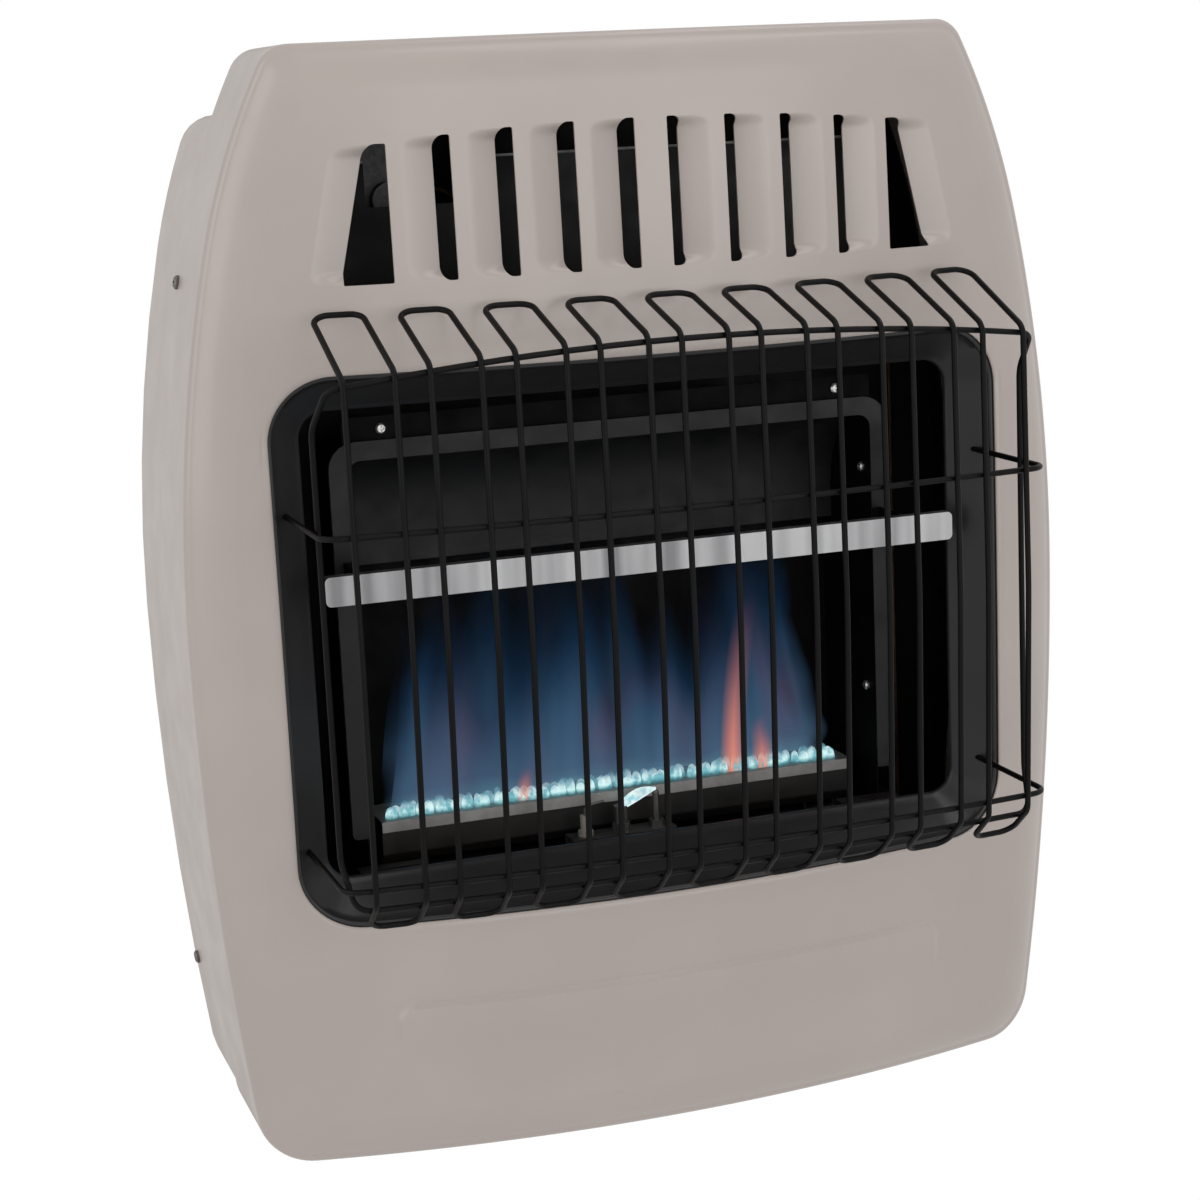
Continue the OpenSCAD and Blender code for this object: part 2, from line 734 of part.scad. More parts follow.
module guard_ring() {
  // Seat inside the forward bend of the middle leg
  p = leg(0);
  u = unit(p[0] - p[1]);
  w = unit(p[2] - p[1]);
  h = acos(u * w) / 2;
  top = p[1] + unit(u + w) * (bend_r / sin(h) - bend_r + wire_d + 2 * weld_gap);
  // Seat behind the lower slope of the legs
  v = unit(p[4] - p[3]);
  low = [0, guard_y(0) + leg_back(ring_low_z), ring_low_z] + [0, -v.z, v.y] * (wire_d + weld_gap);
  drop = 2 * bend_drop / bow_half;
  tilt = norm([guard_slope, drop]);
  tc = bow_corner(top, ring_x - ring_corner, guard_slope, drop);
  lc = bow_corner(low, ring_x - ring_corner, guard_slope, 0);
  side = [[ring_x, -ring_side_y, ring_side_z0], [ring_x, -ring_side_y, ring_side_z1], tc];
  color(black) hung() bent_wire(
    concat(
      side, [bow_middle(top, guard_slope, drop)],
      [for (k = [2:-1:0]) [-side[k].x, side[k].y, side[k].z]],
      [[-lc.x, lc.y, lc.z], bow_middle(low, guard_slope, 0), lc]
    ),
    [
      ring_side_r, ring_side_r, ring_end_r, bow_radius(tilt), ring_end_r,
      ring_side_r, ring_side_r, ring_end_r, bow_radius(guard_slope), ring_end_r
    ],
    wire_d, closed = true
  );
}

// ---------- cabinet and wall mounting ----------

boss_d = 24;
bonnet_d = 26;
hole_gap = 0.3;
// Air slots through the cabinet's top, right of the controls, and through its floor
top_slot_n = 11;
top_slot_x = 20;
top_slot_pitch = 14;
top_slot_w = 6;
top_slot_rear = 14;
floor_slot_n = 6;
floor_slot_pitch = 24;
floor_slot_w = 9;
floor_slot_front = 70;
floor_slot_rear = 24;

// Round-ended slot through a horizontal sheet at height z, from y0 to y1
module slot_z(x, y0, y1, w, z) translate([x, 0, z - through]) {
  plate(-w / 2, y0 + w / 2, 0, w / 2, y1 - w / 2, 2 * through);
  for (y = [y0 + w / 2, y1 - w / 2]) translate([0, y, 0]) cylinder(h = 2 * through, d = w);
}

module hole_z(x, y, z, d) translate([x, y, z - through]) cylinder(h = 2 * through, d = d);

module hole_y(x, y, z, d) translate([x, y + through, z]) rotate([90, 0, 0]) cylinder(h = 2 * through, d = d);

module cabinet_shell() {
  color(taupe) hung() difference() {
    along_y(-cabinet_y, 0) polygon(outline(cabinet_in, cabinet_h, cabinet_r));
    along_y(-cabinet_y - 1, 1) polygon(outline(cabinet_in + sheet, cabinet_h - sheet, cabinet_r - sheet));
    hole_z(-valve_x, -control_y, cabinet_h, bonnet_d + 2 * hole_gap);
    hole_z(-piezo_x, -control_y, cabinet_h, neck_d + 2 * hole_gap);
    for (i = [0:top_slot_n - 1])
      slot_z(top_slot_x + top_slot_pitch * i, -flange_y + 10, -top_slot_rear, top_slot_w, cabinet_h);
    for (i = [-floor_slot_n:floor_slot_n])
      slot_z(floor_slot_pitch * i, -floor_slot_front, -floor_slot_rear, floor_slot_w, cabinet_in);
    hole_z(-reg_x, -reg_y, cabinet_in, boss_d + 2 * hole_gap);
    both_sides() {
      side_hole(panel_screw_z, panel_screw_y, screw_d + screw_gap);
      side_hole(back_screw_z, back_screw_y, screw_d + screw_gap);
    }
  }
}

back_top = cabinet_h - sheet - fit_gap;
back_r = cabinet_r - sheet - fit_gap;
// Front face of the back panel's sheet
rear_y = back_gap + sheet;
// Hooks of the wall bracket: height of their seat above the screws, height of their lip, room in the back panel
hook_z = 6;
hook_h = 14;
hook_room = 1;
hook_drop = 10;

module back_panel() {
  color(zinc) hung() difference() {
    along_y(-back_gap - back_rim, -back_gap) polygon(outline(back_in, back_top, back_r));
    along_y(-back_gap - back_rim - 1, -rear_y)
      polygon(outline(back_in + sheet, back_top - sheet, back_r - sheet));
    both_sides() {
      plate(
        hook_x - hook_w / 2 - hook_room, -rear_y - through, mount_h - hook_drop,
        hook_x + hook_w / 2 + hook_room, 0, mount_h + hook_z + bracket_t + seat_gap
      );
      hole_y(lower_spacing / 2, -back_gap, lower_z, wall_hole_d);
      side_hole(back_screw_z, back_screw_y, screw_d + screw_gap);
    }
  }
}

bracket_r = 5;

module wall_bracket() {
  ledge = rear_y + fit_gap + bracket_t;
  x0 = hook_x - hook_w / 2;
  x1 = hook_x + hook_w / 2;
  z = mount_h + hook_z;
  color(zinc) hung() difference() {
    union() {
      along_y(-bracket_t, 0)
        polygon(rounded(box_2d(-bracket_l / 2, mount_h - bracket_h / 2, bracket_l / 2, mount_h + bracket_h / 2), bracket_r));
      both_sides() {
        plate(x0, -ledge, z, x1, -bracket_t / 2, z + bracket_t);
        plate(x0, -ledge, z, x1, -ledge + bracket_t, z + hook_h);
      }
    }
    both_sides() hole_y(stud_spacing / 2, 0, mount_h, wall_hole_d);
  }
}

spacer_d = 15;

module wall_spacers() {
  color(zinc) hung() both_sides() difference() {
    translate([lower_spacing / 2, 0, lower_z]) rotate([90, 0, 0]) cylinder(h = back_gap, d = spacer_d);
    hole_y(lower_spacing / 2, 0, lower_z, wall_hole_d);
  }
}

// ---------- firebox ----------

fire_r = 12;
fire_in = fire_half - fire_t;
roof_in = fire_z1 - fire_t;
// Upright flange above the firebox's roof
flange_h = 20;
flange_drop = 20;
flange_r = 4;
// Openings in the roof, each side of the middle one
flue_n = 4;
flue_pitch = 32;
flue_w = 24;
flue_front = 62;
flue_rear = 46;
// Screws of the firebox
fire_screw_d = 3.4;
fire_screw_head = 6;
fire_screw_l = 6;
fire_hole_d = 4;
frame_screw_x = 136;
frame_screw_z = fire_z1 + 13;
side_screw_z = [fire_z0 + 76, fire_z1 - 36];
side_screw_in = 10;

module firebox_shell() {
  color(soot) hung() difference() {
    union() {
      along_y(-fire_y, -fire_back_y)
        polygon(rounded(box_2d(-fire_half, fire_z0, fire_half, fire_z1), [0, 0, fire_r, fire_r]));
      along_y(-fire_y, -fire_y + fire_t)
        polygon(rounded(box_2d(-fire_half, fire_z1 - flange_drop, fire_half, fire_z1 + flange_h), [0, 0, flange_r, flange_r]));
    }
    along_y(-fire_y - 1, -fire_back_y - fire_t)
      polygon(rounded(box_2d(-fire_in, fire_z0 - 1, fire_in, roof_in), [0, 0, fire_r - fire_t, fire_r - fire_t]));
    for (i = [-flue_n:flue_n]) translate([flue_pitch * i, 0, fire_z1])
      plate(-flue_w / 2, -flue_front, -through, flue_w / 2, -flue_rear, through);
    for (x = [-frame_screw_x, frame_screw_x]) hole_y(x, -fire_y, frame_screw_z, fire_hole_d);
    both_sides() for (z = side_screw_z)
      translate([fire_half - through, -fire_y + side_screw_in, z]) rotate([0, 90, 0]) cylinder(h = 2 * through, d = fire_hole_d);
  }
}

frame_z0 = fire_z0 + 28;
frame_z1 = fire_z1 + 7;
frame_y = fire_y + seat_gap;
// Depth, sheet and corner radii of the frame
frame_d = 3;
frame_t = 1.2;
frame_r = 15;
frame_foot_r = 3;

module firebox_front_frame() {
  inner = frame_half - frame_w;
  color(charcoal) hung() difference() {
    along_y(-frame_y - frame_d, -frame_y)
      polygon(rounded(box_2d(-frame_half, frame_z0, frame_half, frame_z1), [frame_foot_r, frame_foot_r, frame_r, frame_r]));
    along_y(-frame_y - frame_d - 1, -frame_y + 1)
      polygon(rounded(box_2d(-inner, frame_z0 - 1, inner, frame_z1 - frame_w), [0, 0, frame_r / 2, frame_r / 2]));
    along_y(-frame_y - frame_d + frame_t, -frame_y + 1) polygon(rounded(
      box_2d(-frame_half + frame_t, frame_z0 - 1, frame_half - frame_t, frame_z1 - frame_t),
      [0, 0, frame_r - frame_t, frame_r - frame_t]
    ));
  }
}

// Hat channels between the firebox and the back panel
hat_x = 95;
hat_half = 12;
hat_foot = 10;
hat_t = 1;
hat_z0 = fire_z0 + 24;
hat_z1 = fire_z1 - 16;

module firebox_supports() {
  a = hat_half;
  b = hat_half - hat_t;
  c = hat_half + hat_foot;
  color(soot) hung() both_sides() translate([hat_x, 0, hat_z0]) linear_extrude(hat_z1 - hat_z0) polygon([
    [-a, -fire_back_y], [a, -fire_back_y], [a, -rear_y - hat_t], [c, -rear_y - hat_t], [c, -rear_y], [b, -rear_y],
    [b, hat_t - fire_back_y], [-b, hat_t - fire_back_y], [-b, -rear_y], [-c, -rear_y], [-c, -rear_y - hat_t],
    [-a, -rear_y - hat_t]
  ]);
}

floor_half = 182;
floor_y = 138;
floor_rear_y = 37;
floor_lip = 16;
floor_foot_z = cabinet_in + sheet + seat_gap;
leg_x = 160;
leg_front = floor_y - 16;
leg_foot = 12;
// Room round what passes through the left leg
leg_gap = 1;
// Small steps on the floor: a pair at the sides and a long one before the burner
step_y = 112;
side_step_x0 = 128;
side_step_x1 = 166;
side_step_w = 8;
side_step_h = 12;
mid_step_x0 = -46;
mid_step_x1 = 80;
mid_step_front = step_y + 14;
mid_step_rear = step_y + 6;
mid_step_h = 9;
// Air slots in the floor, and holes that tubes and leads rise through
floor_slot_x = [-150, -110, -70, 100, 140];
floor_slot_l = 30;
floor_slot_d = 5;
lead_hole_d = 8;

module firebox_floor() {
  z = fire_z0;
  color(soot) hung() difference() {
    union() {
      plate(-floor_half, -floor_y, z - sheet, floor_half, -floor_rear_y, z);
      plate(-floor_half, -floor_y, z - floor_lip, floor_half, -floor_y + sheet, z);
      both_sides() {
        plate(leg_x - sheet, -leg_front, floor_foot_z, leg_x, -floor_rear_y, z);
        plate(leg_x - leg_foot, -leg_front, floor_foot_z, leg_x, -floor_rear_y, floor_foot_z + sheet);
        plate(side_step_x0, -step_y - side_step_w, z + side_step_h - sheet, side_step_x1, -step_y, z + side_step_h);
        plate(side_step_x0, -step_y - sheet, z - sheet, side_step_x1, -step_y, z + side_step_h);
      }
      plate(mid_step_x0, -mid_step_front, z + mid_step_h - sheet, mid_step_x1, -mid_step_rear, z + mid_step_h);
      plate(mid_step_x0, -mid_step_rear - sheet, z - sheet, mid_step_x1, -mid_step_rear, z + mid_step_h);
    }
    hole_z(0, -burner_y, z, venturi_d + 2);
    for (x = floor_slot_x) translate([x, -floor_y, z]) plate(0, floor_slot_d, -through, floor_slot_l, 2 * floor_slot_d, through);
    for (x = [pilot_x, couple_x, spark_x]) hole_z(x, -pilot_y, z, lead_hole_d);
    plate(
      -leg_x - leg_gap, -pilot_y - lead_hole_d / 2, low_z - 2 * low_step - lead_hole_d / 2,
      -leg_x + sheet + leg_gap, -burner_y + holder_half + leg_gap, z - sheet
    );
    plate(
      -leg_x - leg_gap, -burner_y - holder_half - leg_gap, venturi_z - holder_half - leg_gap,
      -leg_x + sheet + leg_gap, -burner_y + holder_half + leg_gap, z - sheet
    );
  }
}

hood_r = 53;
hood_lip = 18;
// Gap that a piece fitted inside the firebox keeps to its walls
fire_gap = 0.2;

module heat_hood() {
  half = fire_in - fire_gap;
  top = roof_in - fire_gap;
  c = [-fire_y + 4, top - hood_r];
  low = c.y - hood_lip;
  r = fire_r - fire_t;
  color(soot) hung() intersection() {
    along_x(-half, half) polygon(concat(
      arc(c, hood_r, 90, 0, 8),
      [[c.x + hood_r, low], [c.x + hood_r - fire_t, low]],
      arc(c, hood_r - fire_t, 0, 90, 8)
    ));
    along_y(-fire_y, -fire_back_y) polygon(rounded(box_2d(-half, low - 1, half, top), [0, 0, r, r]));
  }
}

// Channel section of the deflector bar
bar_t = 1;
bar_d = 7;
bar_r = 3;

module deflector_bar() {
  z1 = bar_z + bar_h;
  color(bright) hung() intersection() {
    along_x(-bar_half, bar_half) polygon([
      [-bar_y, bar_z], [-bar_y + bar_d, bar_z], [-bar_y + bar_d, bar_z + bar_t], [-bar_y + bar_t, bar_z + bar_t],
      [-bar_y + bar_t, z1 - bar_t], [-bar_y + bar_d, z1 - bar_t], [-bar_y + bar_d, z1], [-bar_y, z1]
    ]);
    along_y(-bar_y - 1, -bar_y + bar_d + 1) polygon(rounded(box_2d(-bar_half, bar_z, bar_half, z1), bar_r));
  }
}

// Arms that carry the bar on the firebox frame
arm_x = frame_half - 4.8;
arm_t = 1.2;
arm_rear_w = 5.4;
arm_front_w = 12.2;

module bar_brackets() {
  z0 = bar_z + 2 * bar_t;
  z1 = bar_z + bar_h - 2 * bar_t;
  front = -bar_y + bar_t + seat_gap;
  rear = -frame_y - frame_d - seat_gap;
  color(soot) hung() both_sides() {
    plate(arm_x - arm_t, front, z0, arm_x, rear, z1);
    plate(arm_x - arm_rear_w, rear - arm_t, z0, arm_x, rear, z1);
    plate(arm_x - arm_front_w, front, z0, arm_x, front + arm_t, z1);
  }
}

// Shield between the warm air and the controls, with a notch before the valve
shield_half = 168;
shield_t = 1;
shield_y = 98;
shield_up = 38;
shield_drop = 13;
shield_z = fire_z1 + shield_up;
shield_top = valve_z1 - shield_drop;
shield_foot = 22;
shield_lip = 6;
// Notch of the shield before the valve, wider on the capillary's side
notch_gap = 16;
notch_d = 25;
notch_x0 = -valve_x - valve_w / 2;
notch_x1 = -valve_x + valve_w / 2 + notch_gap;
notch_z = shield_top - notch_d;

module heat_shield() {
  front = -shield_y - shield_t;
  color(zinc) hung() difference() {
    along_x(-shield_half, shield_half) polygon([
      [-rear_y, shield_z], [-rear_y, shield_z + shield_foot], [-rear_y - shield_t, shield_z + shield_foot],
      [-rear_y - shield_t, shield_z + shield_t], [-shield_y, shield_z + shield_t],
      [-shield_y, shield_top - shield_t], [-shield_y + shield_lip, shield_top - shield_t],
      [-shield_y + shield_lip, shield_top], [front, shield_top], [front, shield_z]
    ]);
    plate(notch_x0, front - 1, notch_z, notch_x1, -shield_y + shield_lip + 1, shield_top + 1);
  }
}

// ---------- burner ----------

burner_foot = fire_z0 + 5;
burner_t = 1.2;
burner_top = burner_z - burner_t;
// Chamfer and corner radius of the burner's box, and width of its rim
burner_edge = [5, 6];
burner_r = 2;
burner_rim = 6;
burner_side = burner_w / 2;

module burner_body() {
  y0 = -burner_y - burner_side;
  y1 = -burner_y + burner_side;
  color(burnt) hung() difference() {
    along_x(-burner_half, burner_half) polygon(rounded(
      [
        [y0, burner_foot + burner_edge.y], [y0 + burner_edge.x, burner_foot], [y1 - burner_edge.x, burner_foot],
        [y1, burner_foot + burner_edge.y], [y1, burner_top], [y0, burner_top]
      ],
      [burner_r, burner_r, burner_r, burner_r, 0, 0], 3
    ));
    plate(
      -burner_half + 1, y0 + burner_rim, burner_foot + 1,
      burner_half - 1, y1 - burner_rim, burner_top + 1
    );
    translate([0, -burner_y, burner_foot - 1]) cylinder(h = through, d = venturi_d - 2 * venturi_t);
  }
}

// Ports across the strip, and the lips that hold it on the burner
port_l = 14;
port_w = 2.4;
port_end = 6;
strip_lip = 5;

module burner_port_strip() {
  pitch = 2 * (burner_half - port_end) / port_n;
  out = burner_side + burner_t;
  near = burner_side + seat_gap;
  color(port_steel) hung() difference() {
    translate([0, -burner_y, 0]) {
      plate(-burner_half, -out, burner_top, burner_half, out, burner_z);
      plate(-burner_half, -out, burner_top - strip_lip, burner_half, -near, burner_z);
      plate(-burner_half, near, burner_top - strip_lip, burner_half, out, burner_z);
    }
    for (i = [0:port_n - 1]) translate([-burner_half + port_end + pitch * (i + 0.5), -burner_y, burner_z])
      plate(-port_w / 2, -port_l / 2, -through / 2, port_w / 2, port_l / 2, through / 2);
  }
}

// Channels that the burner stands on
stand_x0 = 118;
stand_x1 = 138;
stand_t = 1.2;

module burner_brackets() {
  y0 = -burner_y - burner_side + burner_rim;
  y1 = -burner_y + burner_side - burner_rim;
  color(zinc) hung() both_sides() {
    plate(stand_x0, y0, fire_z0, stand_x1, y1, fire_z0 + stand_t);
    plate(stand_x0, y0, fire_z0, stand_x0 + stand_t, y1, burner_foot);
    plate(stand_x1 - stand_t, y0, fire_z0, stand_x1, y1, burner_foot);
  }
}

// Mouth, wall and bend of the mixing tube
venturi_x = 150;
venturi_t = 1.2;
venturi_r = 16;

// Horizontal tube with a quarter bend up into the burner
module venturi_solid(d, e) {
  r = venturi_r;
  translate([-venturi_x - e, -burner_y, venturi_z]) rotate([0, 90, 0]) cylinder(h = venturi_x - r + e, d = d);
  translate([-r, -burner_y, venturi_z + r]) rotate([90, 0, 0]) rotate([0, 0, -90]) rotate_extrude(angle = 90)
    translate([r, 0]) circle(d = d);
  translate([0, -burner_y, venturi_z + r]) cylinder(h = burner_foot - venturi_z - r + e, d = d);
}

module venturi_tube() {
  color(zinc) hung() difference() {
    venturi_solid(venturi_d, 0);
    venturi_solid(venturi_d - 2 * venturi_t, 1);
  }
}

// Injector: nut, then a shank through its bracket and the shutter
injector_d = 8;
injector_nut = 12;
injector_nut_l = 10;
injector_l = 22;
injector_tip = 4;
injector_bore = 1.4;
injector_x = venturi_x + 26;
shutter_l = 22;
shutter_t = 1.2;
shutter_x = venturi_x + 8;
shutter_slot = 8;

module air_shutter() {
  color(zinc) hung() translate([-shutter_x, -burner_y, venturi_z]) rotate([0, 90, 0]) difference() {
    cylinder(h = shutter_l, d = venturi_d + 2 * shutter_t + 0.6);
    translate([0, 0, shutter_t]) cylinder(h = shutter_l, d = venturi_d + 4 * seat_gap);
    translate([0, 0, -1]) cylinder(h = through, d = injector_d + 4 * seat_gap);
    for (a = [45, 135]) rotate([0, 0, a])
      plate(-venturi_d, -shutter_slot / 2, shutter_t + 1, venturi_d, shutter_slot / 2, shutter_x - venturi_x - 0.5);
  }
}

module gas_injector() {
  color(brass) hung() translate([-injector_x, -burner_y, venturi_z]) rotate([0, 90, 0]) difference() {
    union() {
      cylinder(h = injector_nut_l, d = injector_nut);
      cylinder(h = injector_l, d = injector_d);
      translate([0, 0, injector_l]) cylinder(h = injector_tip, d1 = injector_d, d2 = injector_d / 2);
    }
    translate([0, 0, injector_nut_l / 2]) cylinder(h = injector_x, d = injector_bore);
  }
}

holder_half = 16;
holder_l = 12;

module injector_bracket() {
  x = -injector_x + injector_nut_l + seat_gap;
  top = fire_z0 - sheet;
  color(zinc) hung() difference() {
    translate([x, -burner_y, 0]) {
      plate(0, -holder_half, venturi_z - holder_half, sheet, holder_half, top);
      plate(0, -holder_half, top - sheet, holder_l, holder_half, top);
    }
    translate([x - through, -burner_y, venturi_z]) rotate([0, 90, 0]) cylinder(h = 2 * through, d = injector_d + 2 * seat_gap);
  }
}

// ---------- pilot ----------

// Pilot, thermocouple and spark stand in a row on one shelf
pilot_y = 106;
pilot_x = -6;
couple_x = 16;
spark_x = -28;
shelf_h = 10;
shelf_z = fire_z0 + shelf_h;
shelf_t = 1.2;
shelf_end = 10;
shelf_front = 7;
shelf_rear = 8;
// Shank through the shelf, and the hole that it takes
shank_d = 6;
shank_l = 9;
shank_hole = shank_d + 2 * seat_gap;

module pilot_bracket() {
  x0 = spark_x - shelf_end;
  x1 = couple_x + shelf_end;
  color(zinc) hung() difference() {
    translate([0, -pilot_y, 0]) {
      plate(x0, -shelf_front, shelf_z - shelf_t, x1, shelf_rear, shelf_z);
      plate(x0, shelf_rear - shelf_t, fire_z0, x1, shelf_rear, shelf_z);
      plate(x0, -shelf_front + 3, fire_z0, x0 + 4, shelf_rear, fire_z0 + shelf_t);
    }
    for (x = [couple_x, spark_x, pilot_x]) hole_z(x, -pilot_y, shelf_z, shank_hole);
  }
}

pilot_d1 = 8;
pilot_h = 15;
pilot_nut = 11;
pilot_nut_h = 5;
pilot_bore = 5.6;
pilot_jet = 1.6;

module pilot_burner() {
  color(brass) hung() translate([pilot_x, -pilot_y, shelf_z]) difference() {
    union() {
      cylinder(h = pilot_nut_h, d = pilot_nut, $fn = 6);
      cylinder(h = pilot_h, d = pilot_d1);
      translate([0, 0, -shank_l]) cylinder(h = shank_l, d = shank_d);
    }
    translate([0, 0, 3]) cylinder(h = pilot_h, d = pilot_bore);
    plate(-2.2, 0, 9, 2.2, pilot_d1, 12.5);
    translate([0, 0, -shank_l - 1]) cylinder(h = shank_l + pilot_h, d = pilot_jet);
  }
}

rod_d = 1.6;
sleeve_h = 20;
sleeve_z = shelf_z - 8;
collar_d = 9;
collar_h = 3;

module electrode_insulator() {
  color(porcelain) hung() translate([spark_x, -pilot_y, sleeve_z]) difference() {
    union() {
      cylinder(h = sleeve_h, d = shank_d);
      translate([0, 0, shelf_z - sleeve_z]) cylinder(h = collar_h, d = collar_d);
    }
    translate([0, 0, -1]) cylinder(h = sleeve_h + 2, d = rod_d + 2 * seat_gap);
  }
}

module ignition_electrode() {
  top = sleeve_z + sleeve_h + 5;
  color(bright) hung() bent_wire(
    [[spark_x, -pilot_y, shelf_z - shank_l], [spark_x, -pilot_y, top], [spark_x + 12, -pilot_y, top + 2]],
    [0, 3, 0], rod_d
  );
}

couple_d = 4;
couple_h = 16;
couple_nut = 9;
couple_nut_h = 4;

module thermocouple() {
  color(copper) hung() translate([couple_x, -pilot_y, shelf_z]) {
    cylinder(h = couple_nut_h, d = couple_nut);
    translate([0, 0, -shank_l]) cylinder(h = shank_l, d = shank_d);
    translate([0, 0, couple_nut_h]) cylinder(h = couple_h, d = couple_d);
    translate([0, 0, couple_nut_h + couple_h]) sphere(d = couple_d);
  }
}

// ---------- pipes and leads ----------

// Sockets in the valve: spacing of those in its foot, height of the inlet and of the capillary above it
outlet_x = 13;
socket_up = 30;
feeler_up = 24;
joint_gap = 0.1;
couple_lead_d = 2.6;
// Lines from the pilot run below the floor and up the left side, each one step farther out than the last
low_z = 133;
low_step = 7;
rise_x = 198;
rise_step = 8;
rise_drop = 46;
rise_z = valve_z0 - rise_drop;
// Straight ends of the lines below what they run to, and their bends from the pilot up
lead_turn = 45;
pilot_turn = 22;
couple_turn = 14;
line_r = [0, 7, 8, 12, 9, 0];
lead_r = [0, 6, 8, 12, 12, 0];
supply_turn = 20;
supply_drop = 54;
inlet_turn = 14;
inlet_out = 24;
supply_x = 206;

// Route of line k from the pilot at x to its end at p, where it turns up at a distance below p
function line_route(x, k, p, turn) = [
  [x, -pilot_y, shelf_z - shank_l - joint_gap],
  [x, -pilot_y, low_z - k * low_step],
  [-rise_x - k * rise_step, -pilot_y, low_z - k * low_step],
  [-rise_x - k * rise_step, -pilot_y, rise_z + k * rise_step],
  p - [0, 0, turn],
  p
];

module ignition_lead() {
  color(black) hung()
    bent_wire(line_route(spark_x, 0, [-piezo_x, -control_y, barrel_z0 - joint_gap], lead_turn), lead_r, lead_d);
}

module pilot_tube() {
  color(bright) hung()
    bent_wire(line_route(pilot_x, 1, [-valve_x + outlet_x, -control_y, valve_z0 - joint_gap], pilot_turn), line_r, pilot_d);
}

module thermocouple_lead() {
  color(copper) hung()
    bent_wire(line_route(couple_x, 2, [-valve_x, -control_y, valve_z0 - joint_gap], couple_turn), line_r, couple_lead_d);
}

module burner_supply_tube() {
  x = -valve_x - outlet_x;
  color(bright) hung() bent_wire(
    [
      [x, -control_y, valve_z0 - joint_gap], [x, -control_y, valve_z0 - supply_turn],
      [-supply_x, -burner_y, valve_z0 - supply_drop], [-supply_x, -burner_y, venturi_z],
      [-injector_x - joint_gap, -burner_y, venturi_z]
    ],
    [0, 10, 14, 8, 0], tube_d
  );
}

module inlet_tube() {
  z = valve_z0 + socket_up;
  color(bright) hung() bent_wire(
    [
      [-reg_x, -reg_y, reg_z1 + joint_gap], [-reg_x, -reg_y, z - inlet_turn],
      [-valve_x - valve_w / 2 - inlet_out, -control_y, z], [-valve_x - valve_w / 2 - joint_gap, -control_y, z]
    ],
    [0, 14, 14, 0], tube_d
  );
}

nut_l = 9;

// Nut on a tube: its seat and the direction that it faces away from
module tube_nut(p, rot, d) {
  translate(p) rotate(rot) difference() {
    hexagon(d + 6, nut_l);
    translate([0, 0, -1]) cylinder(h = nut_l + 2, d = d * 1.08 + 0.3);
  }
}

module compression_nuts() {
  color(brass) hung() {
    tube_nut([-valve_x - outlet_x, -control_y, valve_z0 - joint_gap], [180, 0, 0], tube_d);
    tube_nut([-valve_x + outlet_x, -control_y, valve_z0 - joint_gap], [180, 0, 0], pilot_d);
    tube_nut([-valve_x - valve_w / 2 - joint_gap, -control_y, valve_z0 + socket_up], [0, -90, 0], tube_d);
    tube_nut([-injector_x - joint_gap, -burner_y, venturi_z], [0, -90, 0], tube_d);
    tube_nut([-reg_x, -reg_y, reg_z1 + joint_gap], [0, 0, 0], tube_d);
  }
}

// Regulator: inlet boss through the cabinet's floor, bowl with its rim, neck, and a plug socket on its face
reg_z0 = 44;
reg_z1 = 92;
boss_z0 = 0.5;
boss_rim = 4;
bowl_h = 30;
bowl_rim_z = 13;
bowl_rim_h = 4;
bowl_rim = 3;
neck_z = 20;
reg_neck_d = 18;
plug_z = 22;
plug_d = 13;
plug_l = 5;
gas_way_d = 5;

module gas_regulator() {
  color(cast) hung() translate([-reg_x, -reg_y, 0]) difference() {
    union() {
      translate([0, 0, boss_z0]) cylinder(h = reg_z0, d = boss_d);
      translate([0, 0, cabinet_in + sheet + seat_gap]) cylinder(h = boss_rim, d = boss_d + 2 * boss_rim);
      translate([0, 0, reg_z0]) {
        cylinder(h = bowl_h, d = reg_d);
        translate([0, 0, bowl_rim_z]) cylinder(h = bowl_rim_h, d = reg_d + 2 * bowl_rim);
        translate([0, 0, neck_z]) cylinder(h = reg_z1 - reg_z0 - neck_z, d = reg_neck_d);
        translate([0, -reg_d / 2 + plug_l, plug_z]) rotate([90, 0, 0]) cylinder(h = 2 * plug_l, d = plug_d);
      }
    }
    translate([0, 0, -1]) cylinder(h = inlet_l + boss_z0 + 1, r = inlet_r);
    translate([0, 0, boss_z0 + inlet_l / 2]) cylinder(h = reg_z1, d = gas_way_d);
  }
}

cap_across = 14;
cap_l = 5;

module regulator_cap() {
  color(brass) hung() translate([-reg_x, -reg_y - reg_d / 2 - plug_l - joint_gap, reg_z0 + plug_z]) rotate([90, 0, 0]) {
    hexagon(cap_across, cap_l);
    translate([0, 0, cap_l]) cylinder(h = 2, d = cap_across - 4);
  }
}

bulb_in = 48;
bulb_x = case_w / 2 - bulb_in;
bulb_y = 30;
bulb_z = 40;
bulb_d = 8;
bulb_l = 70;
bulb_tip = 6;

module sensing_bulb() {
  color(copper) hung() translate([bulb_x, -bulb_y, bulb_z]) {
    cylinder(h = bulb_l, d = bulb_d);
    sphere(d = bulb_d);
    translate([0, 0, bulb_l]) cylinder(h = bulb_tip, d1 = bulb_d, d2 = capillary_d + 1);
  }
}

clip_h = 8;
clip_t = 1.2;
clip_gap = 4;
clip_foot = 8;

